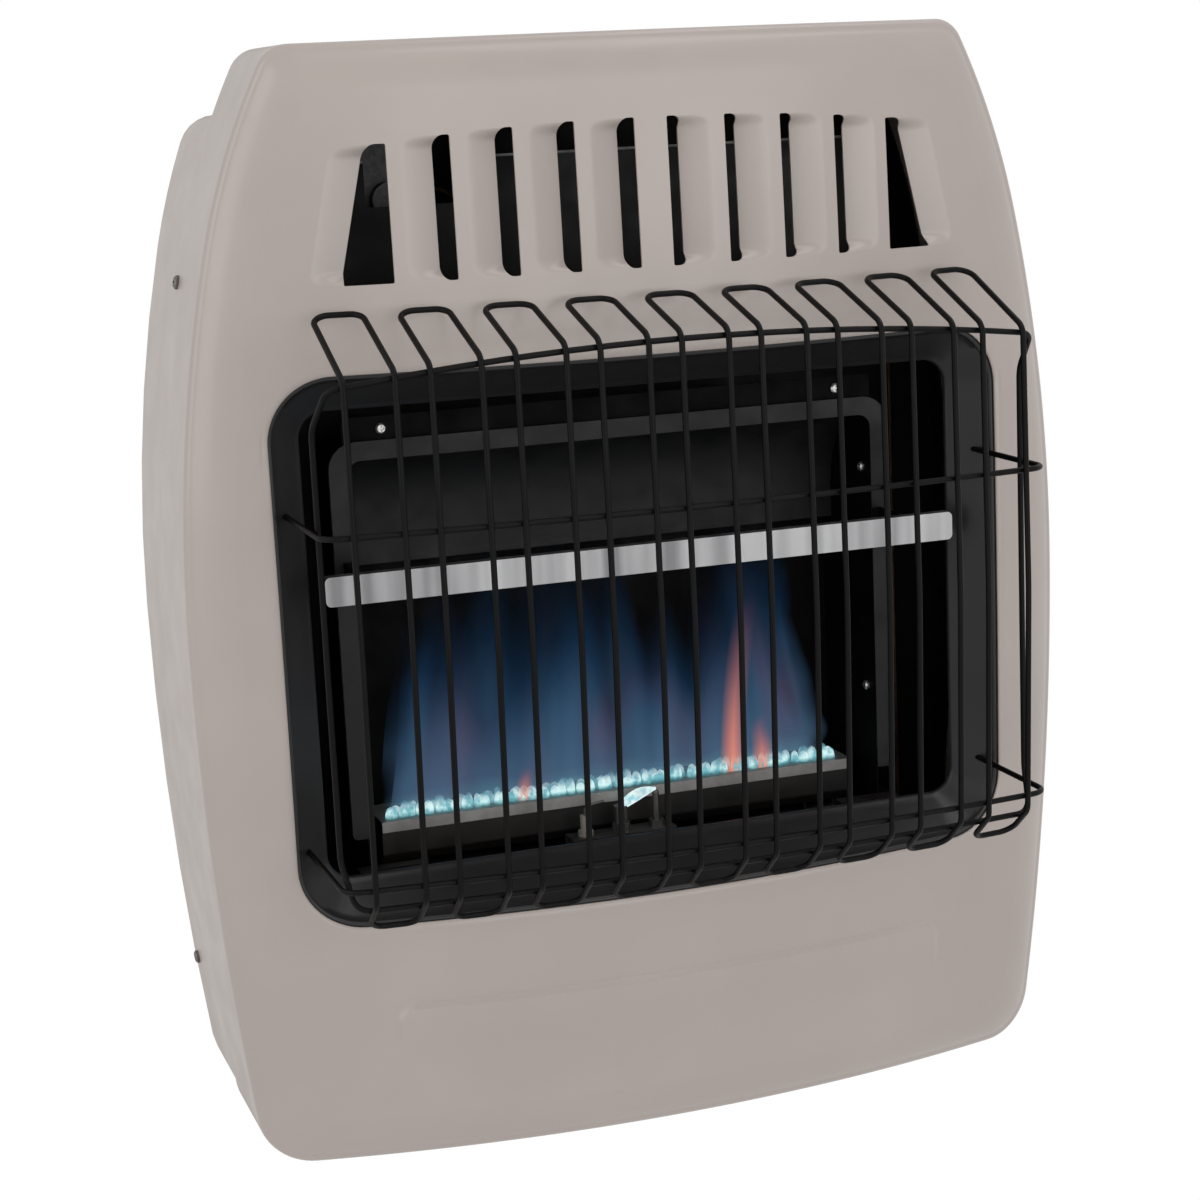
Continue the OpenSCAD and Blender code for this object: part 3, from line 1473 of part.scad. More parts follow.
module bulb_clips() {
  color(zinc) hung() for (z = [bulb_z + clip_h, bulb_z + bulb_l - 2 * clip_h - 2]) translate([bulb_x, 0, z]) {
    translate([0, -bulb_y, 0]) difference() {
      cylinder(h = clip_h, d = bulb_d + 2 * clip_t);
      translate([0, 0, -1]) cylinder(h = clip_h + 2, d = bulb_d + 2 * seat_gap);
      plate(-clip_gap / 2, -bulb_d - clip_t, -1, clip_gap / 2, 0, clip_h + 1);
    }
    plate(-clip_t / 2, -bulb_y + bulb_d / 2 + clip_t / 2, 0, clip_t / 2, -rear_y, clip_h);
    plate(-clip_foot, -rear_y - clip_t, 0, clip_t / 2, -rear_y, clip_h);
  }
}

// Run of the capillary: out of the valve, forward and down to the right, then back to the bulb
capillary_out = [14, 46];
capillary_y = [66, 70];
capillary_x = 50;
capillary_drop = [24, 36, 62];
capillary_r = [10, 14, 20, 16];

module capillary_tube() {
  z = valve_z0 + feeler_up;
  x = -valve_x + valve_w / 2;
  color(copper) hung() bent_wire(
    [
      [x + joint_gap, -control_y, z], [x + capillary_out[0], -control_y, z],
      [x + capillary_out[1], -capillary_y[0], z - capillary_drop[0]],
      [capillary_x, -capillary_y[1], z - capillary_drop[1]], [bulb_x, -bulb_y, z - capillary_drop[2]],
      [bulb_x, -bulb_y, bulb_z + bulb_l + bulb_tip + joint_gap]
    ],
    [0, each capillary_r, 0], capillary_d
  );
}

// ---------- controls ----------

// Bonnet of the valve, its plate under the cabinet's top, and the plunger and stem in it
bonnet_up = 1.5;
bonnet_z1 = cabinet_h + bonnet_up;
nut_plate_t = 3;
nut_plate_w = 6;
magnet_d = 20;
magnet_l = 22;
plunger_z0 = valve_z1 - 4;
plunger_z1 = cabinet_h + knob_gap - 1.5;
stem_z0 = valve_z1 + 2;
knob_z0 = cabinet_h + knob_gap;
stem_z1 = knob_z0 + knob_h - 4;
valve_r = 4;

module control_valve() {
  color(cast) hung() translate([-valve_x, -control_y, 0]) difference() {
    union() {
      translate([0, 0, valve_z0]) linear_extrude(valve_h)
        polygon(rounded(box_2d(-valve_w / 2, -valve_t / 2, valve_w / 2, valve_t / 2), valve_r));
      translate([0, 0, valve_z1 - 1]) cylinder(h = bonnet_z1 - valve_z1 + 1, d = bonnet_d);
      translate([0, 0, cabinet_h - sheet - nut_plate_t])
        cylinder(h = nut_plate_t - seat_gap, d = bonnet_d + 2 * nut_plate_w);
      translate([0, valve_t / 2 - magnet_l, valve_z0 + magnet_d]) rotate([90, 0, 0]) cylinder(h = magnet_l, d = magnet_d);
    }
    translate([0, 0, plunger_z0 - knob_push - 0.5]) cylinder(h = valve_h, d = plunger_d + 2 * run_gap);
  }
}

module valve_plunger() {
  color(brass) hung() translate([-valve_x, -control_y, 0]) difference() {
    translate([0, 0, plunger_z0]) cylinder(h = plunger_z1 - plunger_z0, d = plunger_d);
    translate([0, 0, stem_z0 - 0.5]) cylinder(h = plunger_z1, d = stem_d + 2 * run_gap);
  }
}

module valve_stem() {
  color(bright) hung() translate([-valve_x, -control_y, stem_z0]) cylinder(h = stem_z1 - stem_z0, d = stem_d);
}

// Knob: foot rim, drum with grip hollows, and a pointer rib
rim_h = 3;
drum_in = 5;
crown_h = 2;
grip_d = 7.5;
grip_step = 30;
pointer_w = 2.8;

module control_knob() {
  color(black) hung() translate([-valve_x, -control_y, knob_z0]) difference() {
    union() {
      cylinder(h = rim_h, d = knob_d);
      cylinder(h = knob_h - crown_h, d = knob_d - drum_in);
      translate([0, 0, knob_h - crown_h]) cylinder(h = crown_h, d1 = knob_d - drum_in, d2 = knob_d - drum_in - 4);
      plate(-pointer_w / 2, -knob_d / 2 + 3.5, rim_h, pointer_w / 2, -knob_d / 4, knob_h + 0.8);
    }
    for (a = [grip_step / 2:grip_step:360 - grip_step / 2])
      rotate([0, 0, a]) translate([knob_d / 2, 0, rim_h + 0.5]) cylinder(h = knob_h, d = grip_d);
    translate([0, 0, -1]) cylinder(h = stem_z1 - knob_z0 + 1.2, d = stem_d + 0.04);
  }
}

// Igniter: barrel with a flange below the cabinet's top and a threaded neck through it
neck_d = piezo_d - 2;
neck_up = 4.5;
flange_t = 3;
barrel_z0 = cabinet_h - 50;
button_z0 = cabinet_h - 16;
button_z1 = cabinet_h + 15;
button_edge = 1.5;

module igniter_barrel() {
  under = cabinet_h - sheet - seat_gap;
  color(black) hung() translate([-piezo_x, -control_y, 0]) difference() {
    union() {
      translate([0, 0, barrel_z0]) cylinder(h = under - barrel_z0, d = piezo_d);
      translate([0, 0, under - flange_t]) cylinder(h = flange_t, d = piezo_d + 6);
      translate([0, 0, under - flange_t]) cylinder(h = cabinet_h + neck_up - under + flange_t, d = neck_d);
    }
    translate([0, 0, button_z0 - button_push - 1]) cylinder(h = cabinet_h, d = button_d + 2 * seat_gap);
  }
}

ring_nut = 22;
ring_nut_h = 3;

module igniter_nut() {
  color(zinc) hung() translate([-piezo_x, -control_y, cabinet_h + seat_gap]) difference() {
    hexagon(ring_nut, ring_nut_h);
    translate([0, 0, -1]) cylinder(h = ring_nut_h + 2, d = neck_d + seat_gap);
  }
}

module igniter_button() {
  color(red) hung() translate([-piezo_x, -control_y, 0]) {
    translate([0, 0, button_z0]) cylinder(h = button_z1 - button_edge - button_z0, d = button_d);
    translate([0, 0, button_z1 - button_edge]) cylinder(h = button_edge, d1 = button_d, d2 = button_d - 2 * button_edge);
  }
}

// ---------- screws ----------

panel_screw_l = 9;
back_screw_l = 8;

module panel_screws() {
  color(zinc) hung() both_sides() on_side(panel_screw_z, panel_screw_y) translate([0, 0, seat_gap]) screw(panel_screw_l);
}

module back_screws() {
  color(zinc) hung() both_sides() on_side(back_screw_z, back_screw_y)
    translate([0, 0, -cabinet_in + seat_gap]) screw(back_screw_l);
}

module firebox_screws() {
  color(soot) hung() {
    for (x = [-frame_screw_x, frame_screw_x]) translate([x, -fire_y - seat_gap, frame_screw_z])
      rotate([90, 0, 0]) screw(fire_screw_l, fire_screw_d, fire_screw_head);
    both_sides() for (z = side_screw_z) translate([fire_in - seat_gap, -fire_y + side_screw_in, z])
      rotate([0, -90, 0]) screw(fire_screw_l, fire_screw_d, fire_screw_head);
  }
}

front_panel();
window_bezel();
guard_ring();
guard_loops();
guard_cross_rods();
cabinet_shell();
back_panel();
wall_bracket();
wall_spacers();
firebox_shell();
firebox_front_frame();
firebox_supports();
firebox_floor();
heat_hood();
deflector_bar();
bar_brackets();
heat_shield();
burner_body();
burner_port_strip();
burner_brackets();
venturi_tube();
air_shutter();
gas_injector();
injector_bracket();
pilot_bracket();
pilot_burner();
electrode_insulator();
ignition_electrode();
thermocouple();
pilot_tube();
ignition_lead();
thermocouple_lead();
burner_supply_tube();
inlet_tube();
compression_nuts();
gas_regulator();
regulator_cap();
control_valve();
valve_plunger();
valve_stem();
control_knob();
sensing_bulb();
bulb_clips();
capillary_tube();
igniter_barrel();
igniter_nut();
igniter_button();
panel_screws();
back_screws();
firebox_screws();
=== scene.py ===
"""Wall mounted blue-flame gas heater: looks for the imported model.

Metres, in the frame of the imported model: x to the right, -y into the room, z up, the wall at y = 0.
Profile functions count heights from the casing's lower edge, and lay() moves them to the frame.
"""
import json
from math import asin, atan2, ceil, cos, hypot, pi, radians, sin, sqrt, tan

import bmesh
import bpy
from mathutils import Matrix, Vector, noise


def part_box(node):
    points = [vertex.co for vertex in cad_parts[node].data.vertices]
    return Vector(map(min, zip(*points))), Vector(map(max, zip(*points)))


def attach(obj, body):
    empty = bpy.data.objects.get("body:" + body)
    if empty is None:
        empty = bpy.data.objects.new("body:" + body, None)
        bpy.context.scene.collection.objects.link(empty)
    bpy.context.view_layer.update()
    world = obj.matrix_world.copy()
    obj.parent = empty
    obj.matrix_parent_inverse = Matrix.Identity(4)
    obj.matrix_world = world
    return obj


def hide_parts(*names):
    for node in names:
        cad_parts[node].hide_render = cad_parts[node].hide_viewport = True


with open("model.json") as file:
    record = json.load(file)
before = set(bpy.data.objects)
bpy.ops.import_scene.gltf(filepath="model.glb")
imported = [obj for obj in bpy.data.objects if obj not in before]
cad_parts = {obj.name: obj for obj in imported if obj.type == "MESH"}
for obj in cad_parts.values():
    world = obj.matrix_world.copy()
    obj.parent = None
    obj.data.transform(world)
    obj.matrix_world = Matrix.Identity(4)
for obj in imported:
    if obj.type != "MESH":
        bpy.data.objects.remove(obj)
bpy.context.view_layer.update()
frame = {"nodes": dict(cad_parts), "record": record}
nodes = frame["nodes"]

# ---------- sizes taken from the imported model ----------

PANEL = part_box("front_panel")
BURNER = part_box("burner_port_strip")

CASE_H = PANEL[1][2] - PANEL[0][2]
CASE_W = PANEL[1][0] - PANEL[0][0]
CASE_D = -PANEL[0][1]
BASE_Z = PANEL[0][2]

# ---------- sizes that shape the pressed front ----------

PLAN_R = 0.847
PROFILE_R = 5.192
BULGE_Z = 0.300
WIDEST_Z = 0.295
UPPER_R = 0.937
LOWER_R = 2.0
SHOULDER_Z = 0.500
SHOULDER_R = 0.400
TOP_CORNER_R = 0.018
BOTTOM_CORNER_R = 0.030
SHEET = 0.0012
ROLL_W = 0.026
ROLL_D = 0.007
ROLL_CREASE = 0.26
ROLL_SPAN = 0.94
EDGE_R = 0.004
FLANGE_Y = 0.080

PAD_HALF = 0.164
PAD_Z = 0.092
PAD_D = 0.0026
PAD_R = 0.012
PAD_STEP = 0.0032
PAD_FADE = 0.040
PAD_FULL = 0.008

LOUVRES = 5
LOUVRE_PITCH = 0.03284
LOUVRE_EDGE = 0.00902
LOUVRE_SLOT = 0.008
LOUVRE_RAMP = 0.018
LOUVRE_D = 0.006
LOUVRE_Z0 = 0.482
LOUVRE_Z1 = 0.560
LOUVRE_DROP = 0.007
LOUVRE_R = 0.007
LOUVRE_FLARE = 0.016
LOUVRE_LEAN = 0.002
LOUVRE_END = 0.007
RAMP_SOFT = 0.14
SLOT_R = 0.0045
SLOT_NICK = 0.001
CUT_STEPS = 40
CUT_BEFORE = 0.005
CUT_BEHIND = 0.045

WINDOW_HALF = 0.210
WINDOW_Z0 = 0.1377
WINDOW_Z1 = 0.4361
WINDOW_R = 0.035
BEZEL_W = 0.020
BEZEL_Y = 0.145
BEZEL_RIM = 0.008
LIP = 0.0016
LIP_R = 0.004
BEZEL_SEAT = 0.0002
BEZEL_SLANT = 1.4
BEZEL_FOLD_R = 0.0022

WIRE_D = 0.0032
GUARD_PROUD = 0.064
GUARD_R = 1.606
LOOP_N = 9
LOOP_PITCH = 0.0434
LOOP_W = 0.0256
LOOP_TOP_Z = 0.4685
LOOP_TOP_GAP = 0.010
LOOP_BEND_Z = 0.453
LOOP_LOW_Z = 0.172
LOOP_END_Z = 0.155
LOOP_END_BACK = 0.024
ROD_HALF = 0.2014
ROD_Z = (0.363, 0.1795)
ROD_END_Y = -0.149
ROD_BEND_R = 0.011
BOW_HALF = 0.184
GUARD_MID_Z = 0.300
BEND_BACK = 0.003
LOW_BACK = 0.004
BEND_R = 0.008
BEND_DROP = 0.012
WELD_GAP = 0.0002
LOOP_MID_R = 0.4
RING_Y = -0.217
RING_Z = (0.190, 0.415)
RING_LOW_Z = 0.164
RING_TUCK = 0.004
RING_SIDE_R = 0.014
RING_BOW_R = 0.009
BEND_STEP = 9
BEND_RUN = 0.02

# Points per half outline: bottom edge, corners, sides, shoulder, top edge
EDGE_N = 128
ARC_N = 14
SIDE_N = 40

# Rows of the panel: flange, each rounded bend, rolled edge, face
FLANGE_ROWS = 5
BEND_ROWS = 6
ROLL_ROWS = 12
FACE_ROWS = 72


# ---------- mesh helpers ----------

def lay(p):
    """A point counted from the casing's lower edge, in the frame."""
    return (p[0], p[1], p[2] + BASE_Z)


def new_piece(name, verts, faces, material, body="casing", smooth=40):
    mesh = bpy.data.meshes.new(name)
    mesh.from_pydata([lay(v) for v in verts], [], faces)
    mesh.validate()
    mesh.materials.append(material)
    piece = bpy.data.objects.new(name, mesh)
    bpy.context.scene.collection.objects.link(piece)
    smooth_by_angle(piece, smooth)
    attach(piece, body)
    return piece


def smooth_by_angle(piece, angle):
    mesh = piece.data
    mesh.polygons.foreach_set("use_smooth", [True] * len(mesh.polygons))
    mesh.set_sharp_from_angle(angle=radians(angle))


def skin(rings):
    """Vertices and faces of a closed sheet over rings of equal length, the last joined to the first."""
    n = len(rings[0])
    verts = [p for ring in rings for p in ring]
    faces = []
    for k in range(len(rings)):
        a, b = k * n, (k + 1) % len(rings) * n
        faces += [(a + i, a + (i + 1) % n, b + (i + 1) % n, b + i) for i in range(n)]
    return verts, faces


def soft(t):
    u = min(1.0, max(0.0, t))
    return u * u * (3 - 2 * u)


# ---------- outlines, as functions of the distance s inside the edge ----------

def arc(cx, cz, r, a0, a1, n):
    turns = [a0 + (a1 - a0) * i / n for i in range(n + 1)]
    return [(cx + r * cos(a), cz + r * sin(a)) for a in turns]


def case_outline(s):
    """Closed outline of the casing as (x, z), counter-clockwise from the middle of its lower edge."""
    lower = (CASE_W / 2 - LOWER_R, WIDEST_Z)
    upper = (CASE_W / 2 - UPPER_R, WIDEST_Z)
    turn = asin((SHOULDER_Z - WIDEST_Z) / UPPER_R)
    shoulder = (upper[0] + (UPPER_R - SHOULDER_R) * cos(turn), upper[1] + (UPPER_R - SHOULDER_R) * sin(turn))
    rb = BOTTOM_CORNER_R - 0.4 * s
    rt = TOP_CORNER_R - 0.3 * s
    top = CASE_H - s
    zb, zt = s + rb, top - rt
    xb = lower[0] + sqrt((LOWER_R - s - rb) ** 2 - (zb - WIDEST_Z) ** 2)
    xt = shoulder[0] + sqrt((SHOULDER_R - s - rt) ** 2 - (zt - shoulder[1]) ** 2)
    ab = atan2(zb - WIDEST_Z, xb - lower[0])
    at = atan2(zt - shoulder[1], xt - shoulder[0])
    half = [(xb * i / EDGE_N, s) for i in range(EDGE_N)]
    half += arc(xb, zb, rb, -pi / 2, ab, ARC_N)
    half += arc(*lower, LOWER_R - s, ab, 0, SIDE_N)[1:]
    half += arc(*upper, UPPER_R - s, 0, turn, SIDE_N)[1:]
    half += arc(*shoulder, SHOULDER_R - s, turn, at, ARC_N)[1:]
    half += arc(xt, zt, rt, at, pi / 2, ARC_N)[1:]
    half += [(xt * (1 - i / EDGE_N), top) for i in range(1, EDGE_N)]
    return mirror_closed(half, top)


def window_outline(s):
    """Closed outline of the window with as many points as the casing's."""
    w, r = WINDOW_HALF - s, WINDOW_R - s
    z0, z1 = WINDOW_Z0 + s, WINDOW_Z1 - s
    mid = (z0 + z1) / 2
    half = [((w - r) * i / EDGE_N, z0) for i in range(EDGE_N)]
    half += arc(w - r, z0 + r, r, -pi / 2, 0, ARC_N)
    half += [(w, z0 + r + (mid - z0 - r) * i / SIDE_N) for i in range(1, SIDE_N + 1)]
    half += [(w, mid + (z1 - r - mid) * i / SIDE_N) for i in range(1, SIDE_N + 1)]
    half += arc(w - r, z1 - r, r, 0, pi / 2, 2 * ARC_N)[1:]
    half += [((w - r) * (1 - i / EDGE_N), z1) for i in range(1, EDGE_N)]
    return mirror_closed(half, z1)


def mirror_closed(half, top):
    return half + [(0.0, top)] + [(-x, z) for x, z in reversed(half[1:])]


def between(a, b, t):
    return [(p[0] * (1 - t) + q[0] * t, p[1] * (1 - t) + q[1] * t) for p, q in zip(a, b)]


# ---------- surface of the front ----------

def crown(x, z):
    return -CASE_D + x * x / (2 * PLAN_R) + (z - BULGE_Z) ** 2 / (2 * PROFILE_R)


def face(x, z):
    reach = hypot(max(abs(x) - PAD_HALF + PAD_R, 0.0), max(z - PAD_Z + PAD_R, 0.0))
    step = soft((PAD_R - reach) / PAD_STEP) * soft((z - PAD_Z + PAD_FADE) / (PAD_FADE - PAD_FULL))
    return crown(x, z) - PAD_D * step


def roll(s):
    """Depth of the rolled edge: a curve that meets the face at a slight crease."""
    share = (ROLL_W - s) / (ROLL_W - EDGE_R)
    curve = (1 - sqrt(1 - (ROLL_SPAN * share) ** 2)) / (1 - sqrt(1 - ROLL_SPAN ** 2))
    return ROLL_D * ((1 - ROLL_CREASE) * curve + ROLL_CREASE * share)


def ring(outline, depth):
    return [(x, face(x, z) + depth, z) for x, z in outline]


def flat_ring(outline, y):
    return [(x, y, z) for x, z in outline]


def panel_rings(inset):
    """Rings from the flange's rear edge to the lip of the window, on a surface set in by inset."""
    side = roll(EDGE_R)
    rings = []
    outer = case_outline(inset)
    front = ring(outer, side + EDGE_R)
    for k in range(FLANGE_ROWS):
        t = k / FLANGE_ROWS
        rings.append([(x, -FLANGE_Y * (1 - t) + y * t, z) for x, y, z in front])
    r = EDGE_R - inset
    for k in range(BEND_ROWS + 1):
        a = k * pi / (2 * BEND_ROWS)
        rings.append(ring(case_outline(EDGE_R - r * cos(a)), side + EDGE_R - r * sin(a)))
    for k in range(1, ROLL_ROWS + 1):
        s = EDGE_R + (ROLL_W - EDGE_R) * k / ROLL_ROWS
        rings.append(ring(case_outline(s), roll(s) + inset))
    start, end = case_outline(ROLL_W), window_outline(-LIP_R)
    rings += [ring(between(start, end, k / FACE_ROWS), inset) for k in range(1, FACE_ROWS + 1)]
    for k in range(1, BEND_ROWS + 1):
        a = k * pi / (2 * BEND_ROWS)
        turned = window_outline(-LIP_R + (LIP_R - inset * 0.3) * sin(a))
        rings.append(ring(turned, LIP * (1 - cos(a)) + inset))
    return rings


# ---------- louvres ----------

def louvre_top(i):
    return LOUVRE_Z1 - LOUVRE_DROP * (i / (LOUVRES - 1)) ** 2


def corner(z, low, high, r_low, r_high):
    """How far corners of these radii draw a side in at height z."""
    r = r_low if z < (low + high) / 2 else r_high
    d = max(0.0, z - high + r, low + r - z)
    return r - sqrt(max(0.0, r * r - d * d))


def louvre_spans(i, z):
    """x of the slot's edge, of the ramp's foot at the slot and of the ramp's far side, at height z."""
    x0 = LOUVRE_EDGE + i * LOUVRE_PITCH
    top = louvre_top(i)
    flared = i == LOUVRES - 1
    lean = LOUVRE_LEAN + LOUVRE_FLARE * (top - z) / (top - LOUVRE_Z0) if flared else 0.0
    near = x0 + corner(z, LOUVRE_Z0, top, SLOT_NICK, SLOT_NICK)
    foot = x0 + LOUVRE_SLOT + lean - corner(z, LOUVRE_Z0, top, SLOT_NICK if flared else SLOT_R, SLOT_R)
    far = x0 + LOUVRE_SLOT + LOUVRE_RAMP + lean - corner(z, LOUVRE_Z0, top, LOUVRE_R, LOUVRE_R)
    return near, foot, far


def louvre_cutter(i, side):
    """Prism through the sheet that opens slot and ramp together."""
    reach = louvre_top(i) - LOUVRE_Z0
    zs = [LOUVRE_Z0 + reach * (0.5 - 0.5 * cos(pi * k / CUT_STEPS)) for k in range(CUT_STEPS + 1)]
    near = [(louvre_spans(i, z)[0], z) for z in zs]
    far = [(louvre_spans(i, z)[2], z) for z in zs]
    outline = [(side * x, z) for x, z in near + far[::-1]]
    y0, y1 = -CASE_D - CUT_BEFORE, -CASE_D + CUT_BEHIND
    verts = [lay((x, y0, z)) for x, z in outline] + [lay((x, y1, z)) for x, z in outline]
    n = len(outline)
    faces = [tuple(range(n)), tuple(range(2 * n - 1, n - 1, -1))]
    faces += [(j, n + j, n + (j + 1) % n, (j + 1) % n) for j in range(n)]
    return verts, faces


def louvre_ramp(i, side, depth):
    """Grid over one pressed ramp: deepest along the slot, flush with the panel on its other sides."""
    across, along = 20, 56
    rows = []
    top = louvre_top(i)
    for k in range(along + 1):
        z = LOUVRE_Z0 + (top - LOUVRE_Z0) * (0.5 - 0.5 * cos(pi * k / along))
        near, foot, far = louvre_spans(i, z)
        end = soft(min(z - LOUVRE_Z0, top - z) / LOUVRE_END)
        row = []
        for j in range(across + 1):
            u = j / across
            x = foot + (far - foot) * u
            slope = (hypot(1 - u, RAMP_SOFT) - RAMP_SOFT) / (hypot(1, RAMP_SOFT) - RAMP_SOFT)
            row.append((side * x, face(x, z) + LOUVRE_D * slope * end + depth, z))
        rows.append(row)
    return rows


def ramp_mesh(i, side):
    front = louvre_ramp(i, side, 0.0)
    back = louvre_ramp(i, side, SHEET)
    n = len(front[0])
    verts = [p for row in front for p in row] + [p for row in back for p in row]
    shift = len(front) * n
    quads = [(k * n + j, k * n + j + 1, (k + 1) * n + j + 1, (k + 1) * n + j)
             for k in range(len(front) - 1) for j in range(n - 1)]
    faces = quads + [tuple(v + shift for v in reversed(q)) for q in quads]
    edge = [(k * n, (k + 1) * n) for k in range(len(front) - 1)]
    faces += [(b, a, a + shift, b + shift) for a, b in edge]
    if side < 0:
        faces = [tuple(reversed(f)) for f in faces]
    return verts, faces


# ---------- wires ----------

def bent(points, radii, closed):
    """Points along a wire bent at each of points with the radius of the same place."""
    m = len(points)
    path = []
    for i, r in enumerate(radii):
        b = Vector(points[i])
        if not closed and i in (0, m - 1):
            path.append(b)
            continue
        u = (b - Vector(points[i - 1])).normalized()
        w = (Vector(points[(i + 1) % m]) - b).normalized()
        turn = u.angle(w)
        start = b - u * r * tan(turn / 2)
        n = (w - u * u.dot(w)).normalized()
        steps = max(ceil(turn / radians(BEND_STEP)), ceil(turn * r / BEND_RUN))
        path += [start + r * sin(turn * k / steps) * u + r * (1 - cos(turn * k / steps)) * n
                 for k in range(steps + 1)]
    return path


def wire_piece(name, paths, closed, diameter, material, body="casing"):
    curve = bpy.data.curves.new(name, "CURVE")
    curve.dimensions = "3D"
    curve.bevel_depth = diameter / 2
    curve.bevel_resolution = 5
    curve.use_fill_caps = True
    for path in paths:
        spline = curve.splines.new("POLY")
        spline.points.add(len(path) - 1)
        for point, p in zip(spline.points, path):
            point.co = (*lay(p), 1)
        spline.use_cyclic_u = closed
        spline.use_smooth = True
    curve.materials.append(material)
    piece = bpy.data.objects.new(name, curve)
    bpy.context.scene.collection.objects.link(piece)
    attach(piece, body)
    return piece


def guard_y(x):
    return -CASE_D - GUARD_PROUD + x * x / (2 * GUARD_R)


def leg_back(z):
    if z > GUARD_MID_Z:
        return BEND_BACK * (z - GUARD_MID_Z) / (LOOP_BEND_Z - GUARD_MID_Z)
    if z > LOOP_LOW_Z:
        return LOW_BACK * (GUARD_MID_Z - z) / (GUARD_MID_Z - LOOP_LOW_Z)
    return LOW_BACK + (LOOP_END_BACK - LOW_BACK) * (LOOP_LOW_Z - z) / (LOOP_LOW_Z - LOOP_END_Z)


def leg(x):
    return [
        (x, crown(x, LOOP_TOP_Z) - LOOP_TOP_GAP, LOOP_TOP_Z),
        (x, guard_y(x) + BEND_BACK, LOOP_BEND_Z - BEND_DROP * (x / BOW_HALF) ** 2),
        (x, guard_y(x), GUARD_MID_Z),
        (x, guard_y(x) + LOW_BACK, LOOP_LOW_Z),
        (x, guard_y(x) + LOOP_END_BACK, LOOP_END_Z),
    ]


def loop_path(i):
    x = (i - (LOOP_N - 1) / 2) * LOOP_PITCH
    half = [BEND_R, BEND_R, LOOP_MID_R, BEND_R, BEND_R]
    return bent(leg(x - LOOP_W / 2) + leg(x + LOOP_W / 2)[::-1], half + half[::-1], True)


def bow_corner(m, w, sy, sz):
    return (m[0] + w, m[1] + sy * (w - BOW_HALF / 2), m[2] - sz * (w - BOW_HALF / 2))


def bow_middle(m, sy, sz):
    return (m[0], m[1] - sy * BOW_HALF / 2, m[2] + sz * BOW_HALF / 2)


def bow_radius(s):
    return BOW_HALF * sqrt(1 + s * s) / s


def flip(p):
    return (-p[0], p[1], p[2])


def rod_path(z):
    slope = BOW_HALF / GUARD_R
    m = (0.0, guard_y(0) + leg_back(z) + WIRE_D + WELD_GAP, z)
    c = bow_corner(m, ROD_HALF, slope, 0)
    end = (ROD_HALF, ROD_END_Y, z)
    return bent([flip(end), flip(c), bow_middle(m, slope, 0), c, end],
                [0, ROD_BEND_R, bow_radius(slope), ROD_BEND_R, 0], False)


def ring_path():
    p = [Vector(q) for q in leg(0)]
    u, w = (p[0] - p[1]).normalized(), (p[2] - p[1]).normalized()
    h = u.angle(w) / 2
    top = p[1] + (u + w).normalized() * (BEND_R / sin(h) - BEND_R + WIRE_D + 2 * WELD_GAP)
    v = (p[4] - p[3]).normalized()
    low = Vector((0, guard_y(0) + leg_back(RING_LOW_Z), RING_LOW_Z))
    low += Vector((0, -v.z, v.y)) * (WIRE_D + WELD_GAP)
    slope, drop = BOW_HALF / GUARD_R, 2 * BEND_DROP / BOW_HALF
    x = ROD_HALF - WIRE_D - WELD_GAP
    tc = bow_corner(top, x - RING_TUCK, slope, drop)
    lc = bow_corner(low, x - RING_TUCK, slope, 0)
    side = [(x, RING_Y, RING_Z[0]), (x, RING_Y, RING_Z[1]), tc]
    points = side + [bow_middle(top, slope, drop)] + [flip(q) for q in side[::-1]]
    points += [flip(lc), bow_middle(low, slope, 0), lc]
    tilt = sqrt(slope ** 2 + drop ** 2)
    sides = [RING_SIDE_R, RING_SIDE_R]
    radii = sides + [RING_BOW_R, bow_radius(tilt), RING_BOW_R]
    radii += sides + [RING_BOW_R, bow_radius(slope), RING_BOW_R]
    return bent(points, radii, True)


# ---------- materials ----------

def srgb(r, g, b):
    """Linear colour of an 8-bit display colour."""
    def lin(c):
        c /= 255
        return c / 12.92 if c <= 0.04045 else ((c + 0.055) / 1.055) ** 2.4
    return (lin(r), lin(g), lin(b), 1.0)


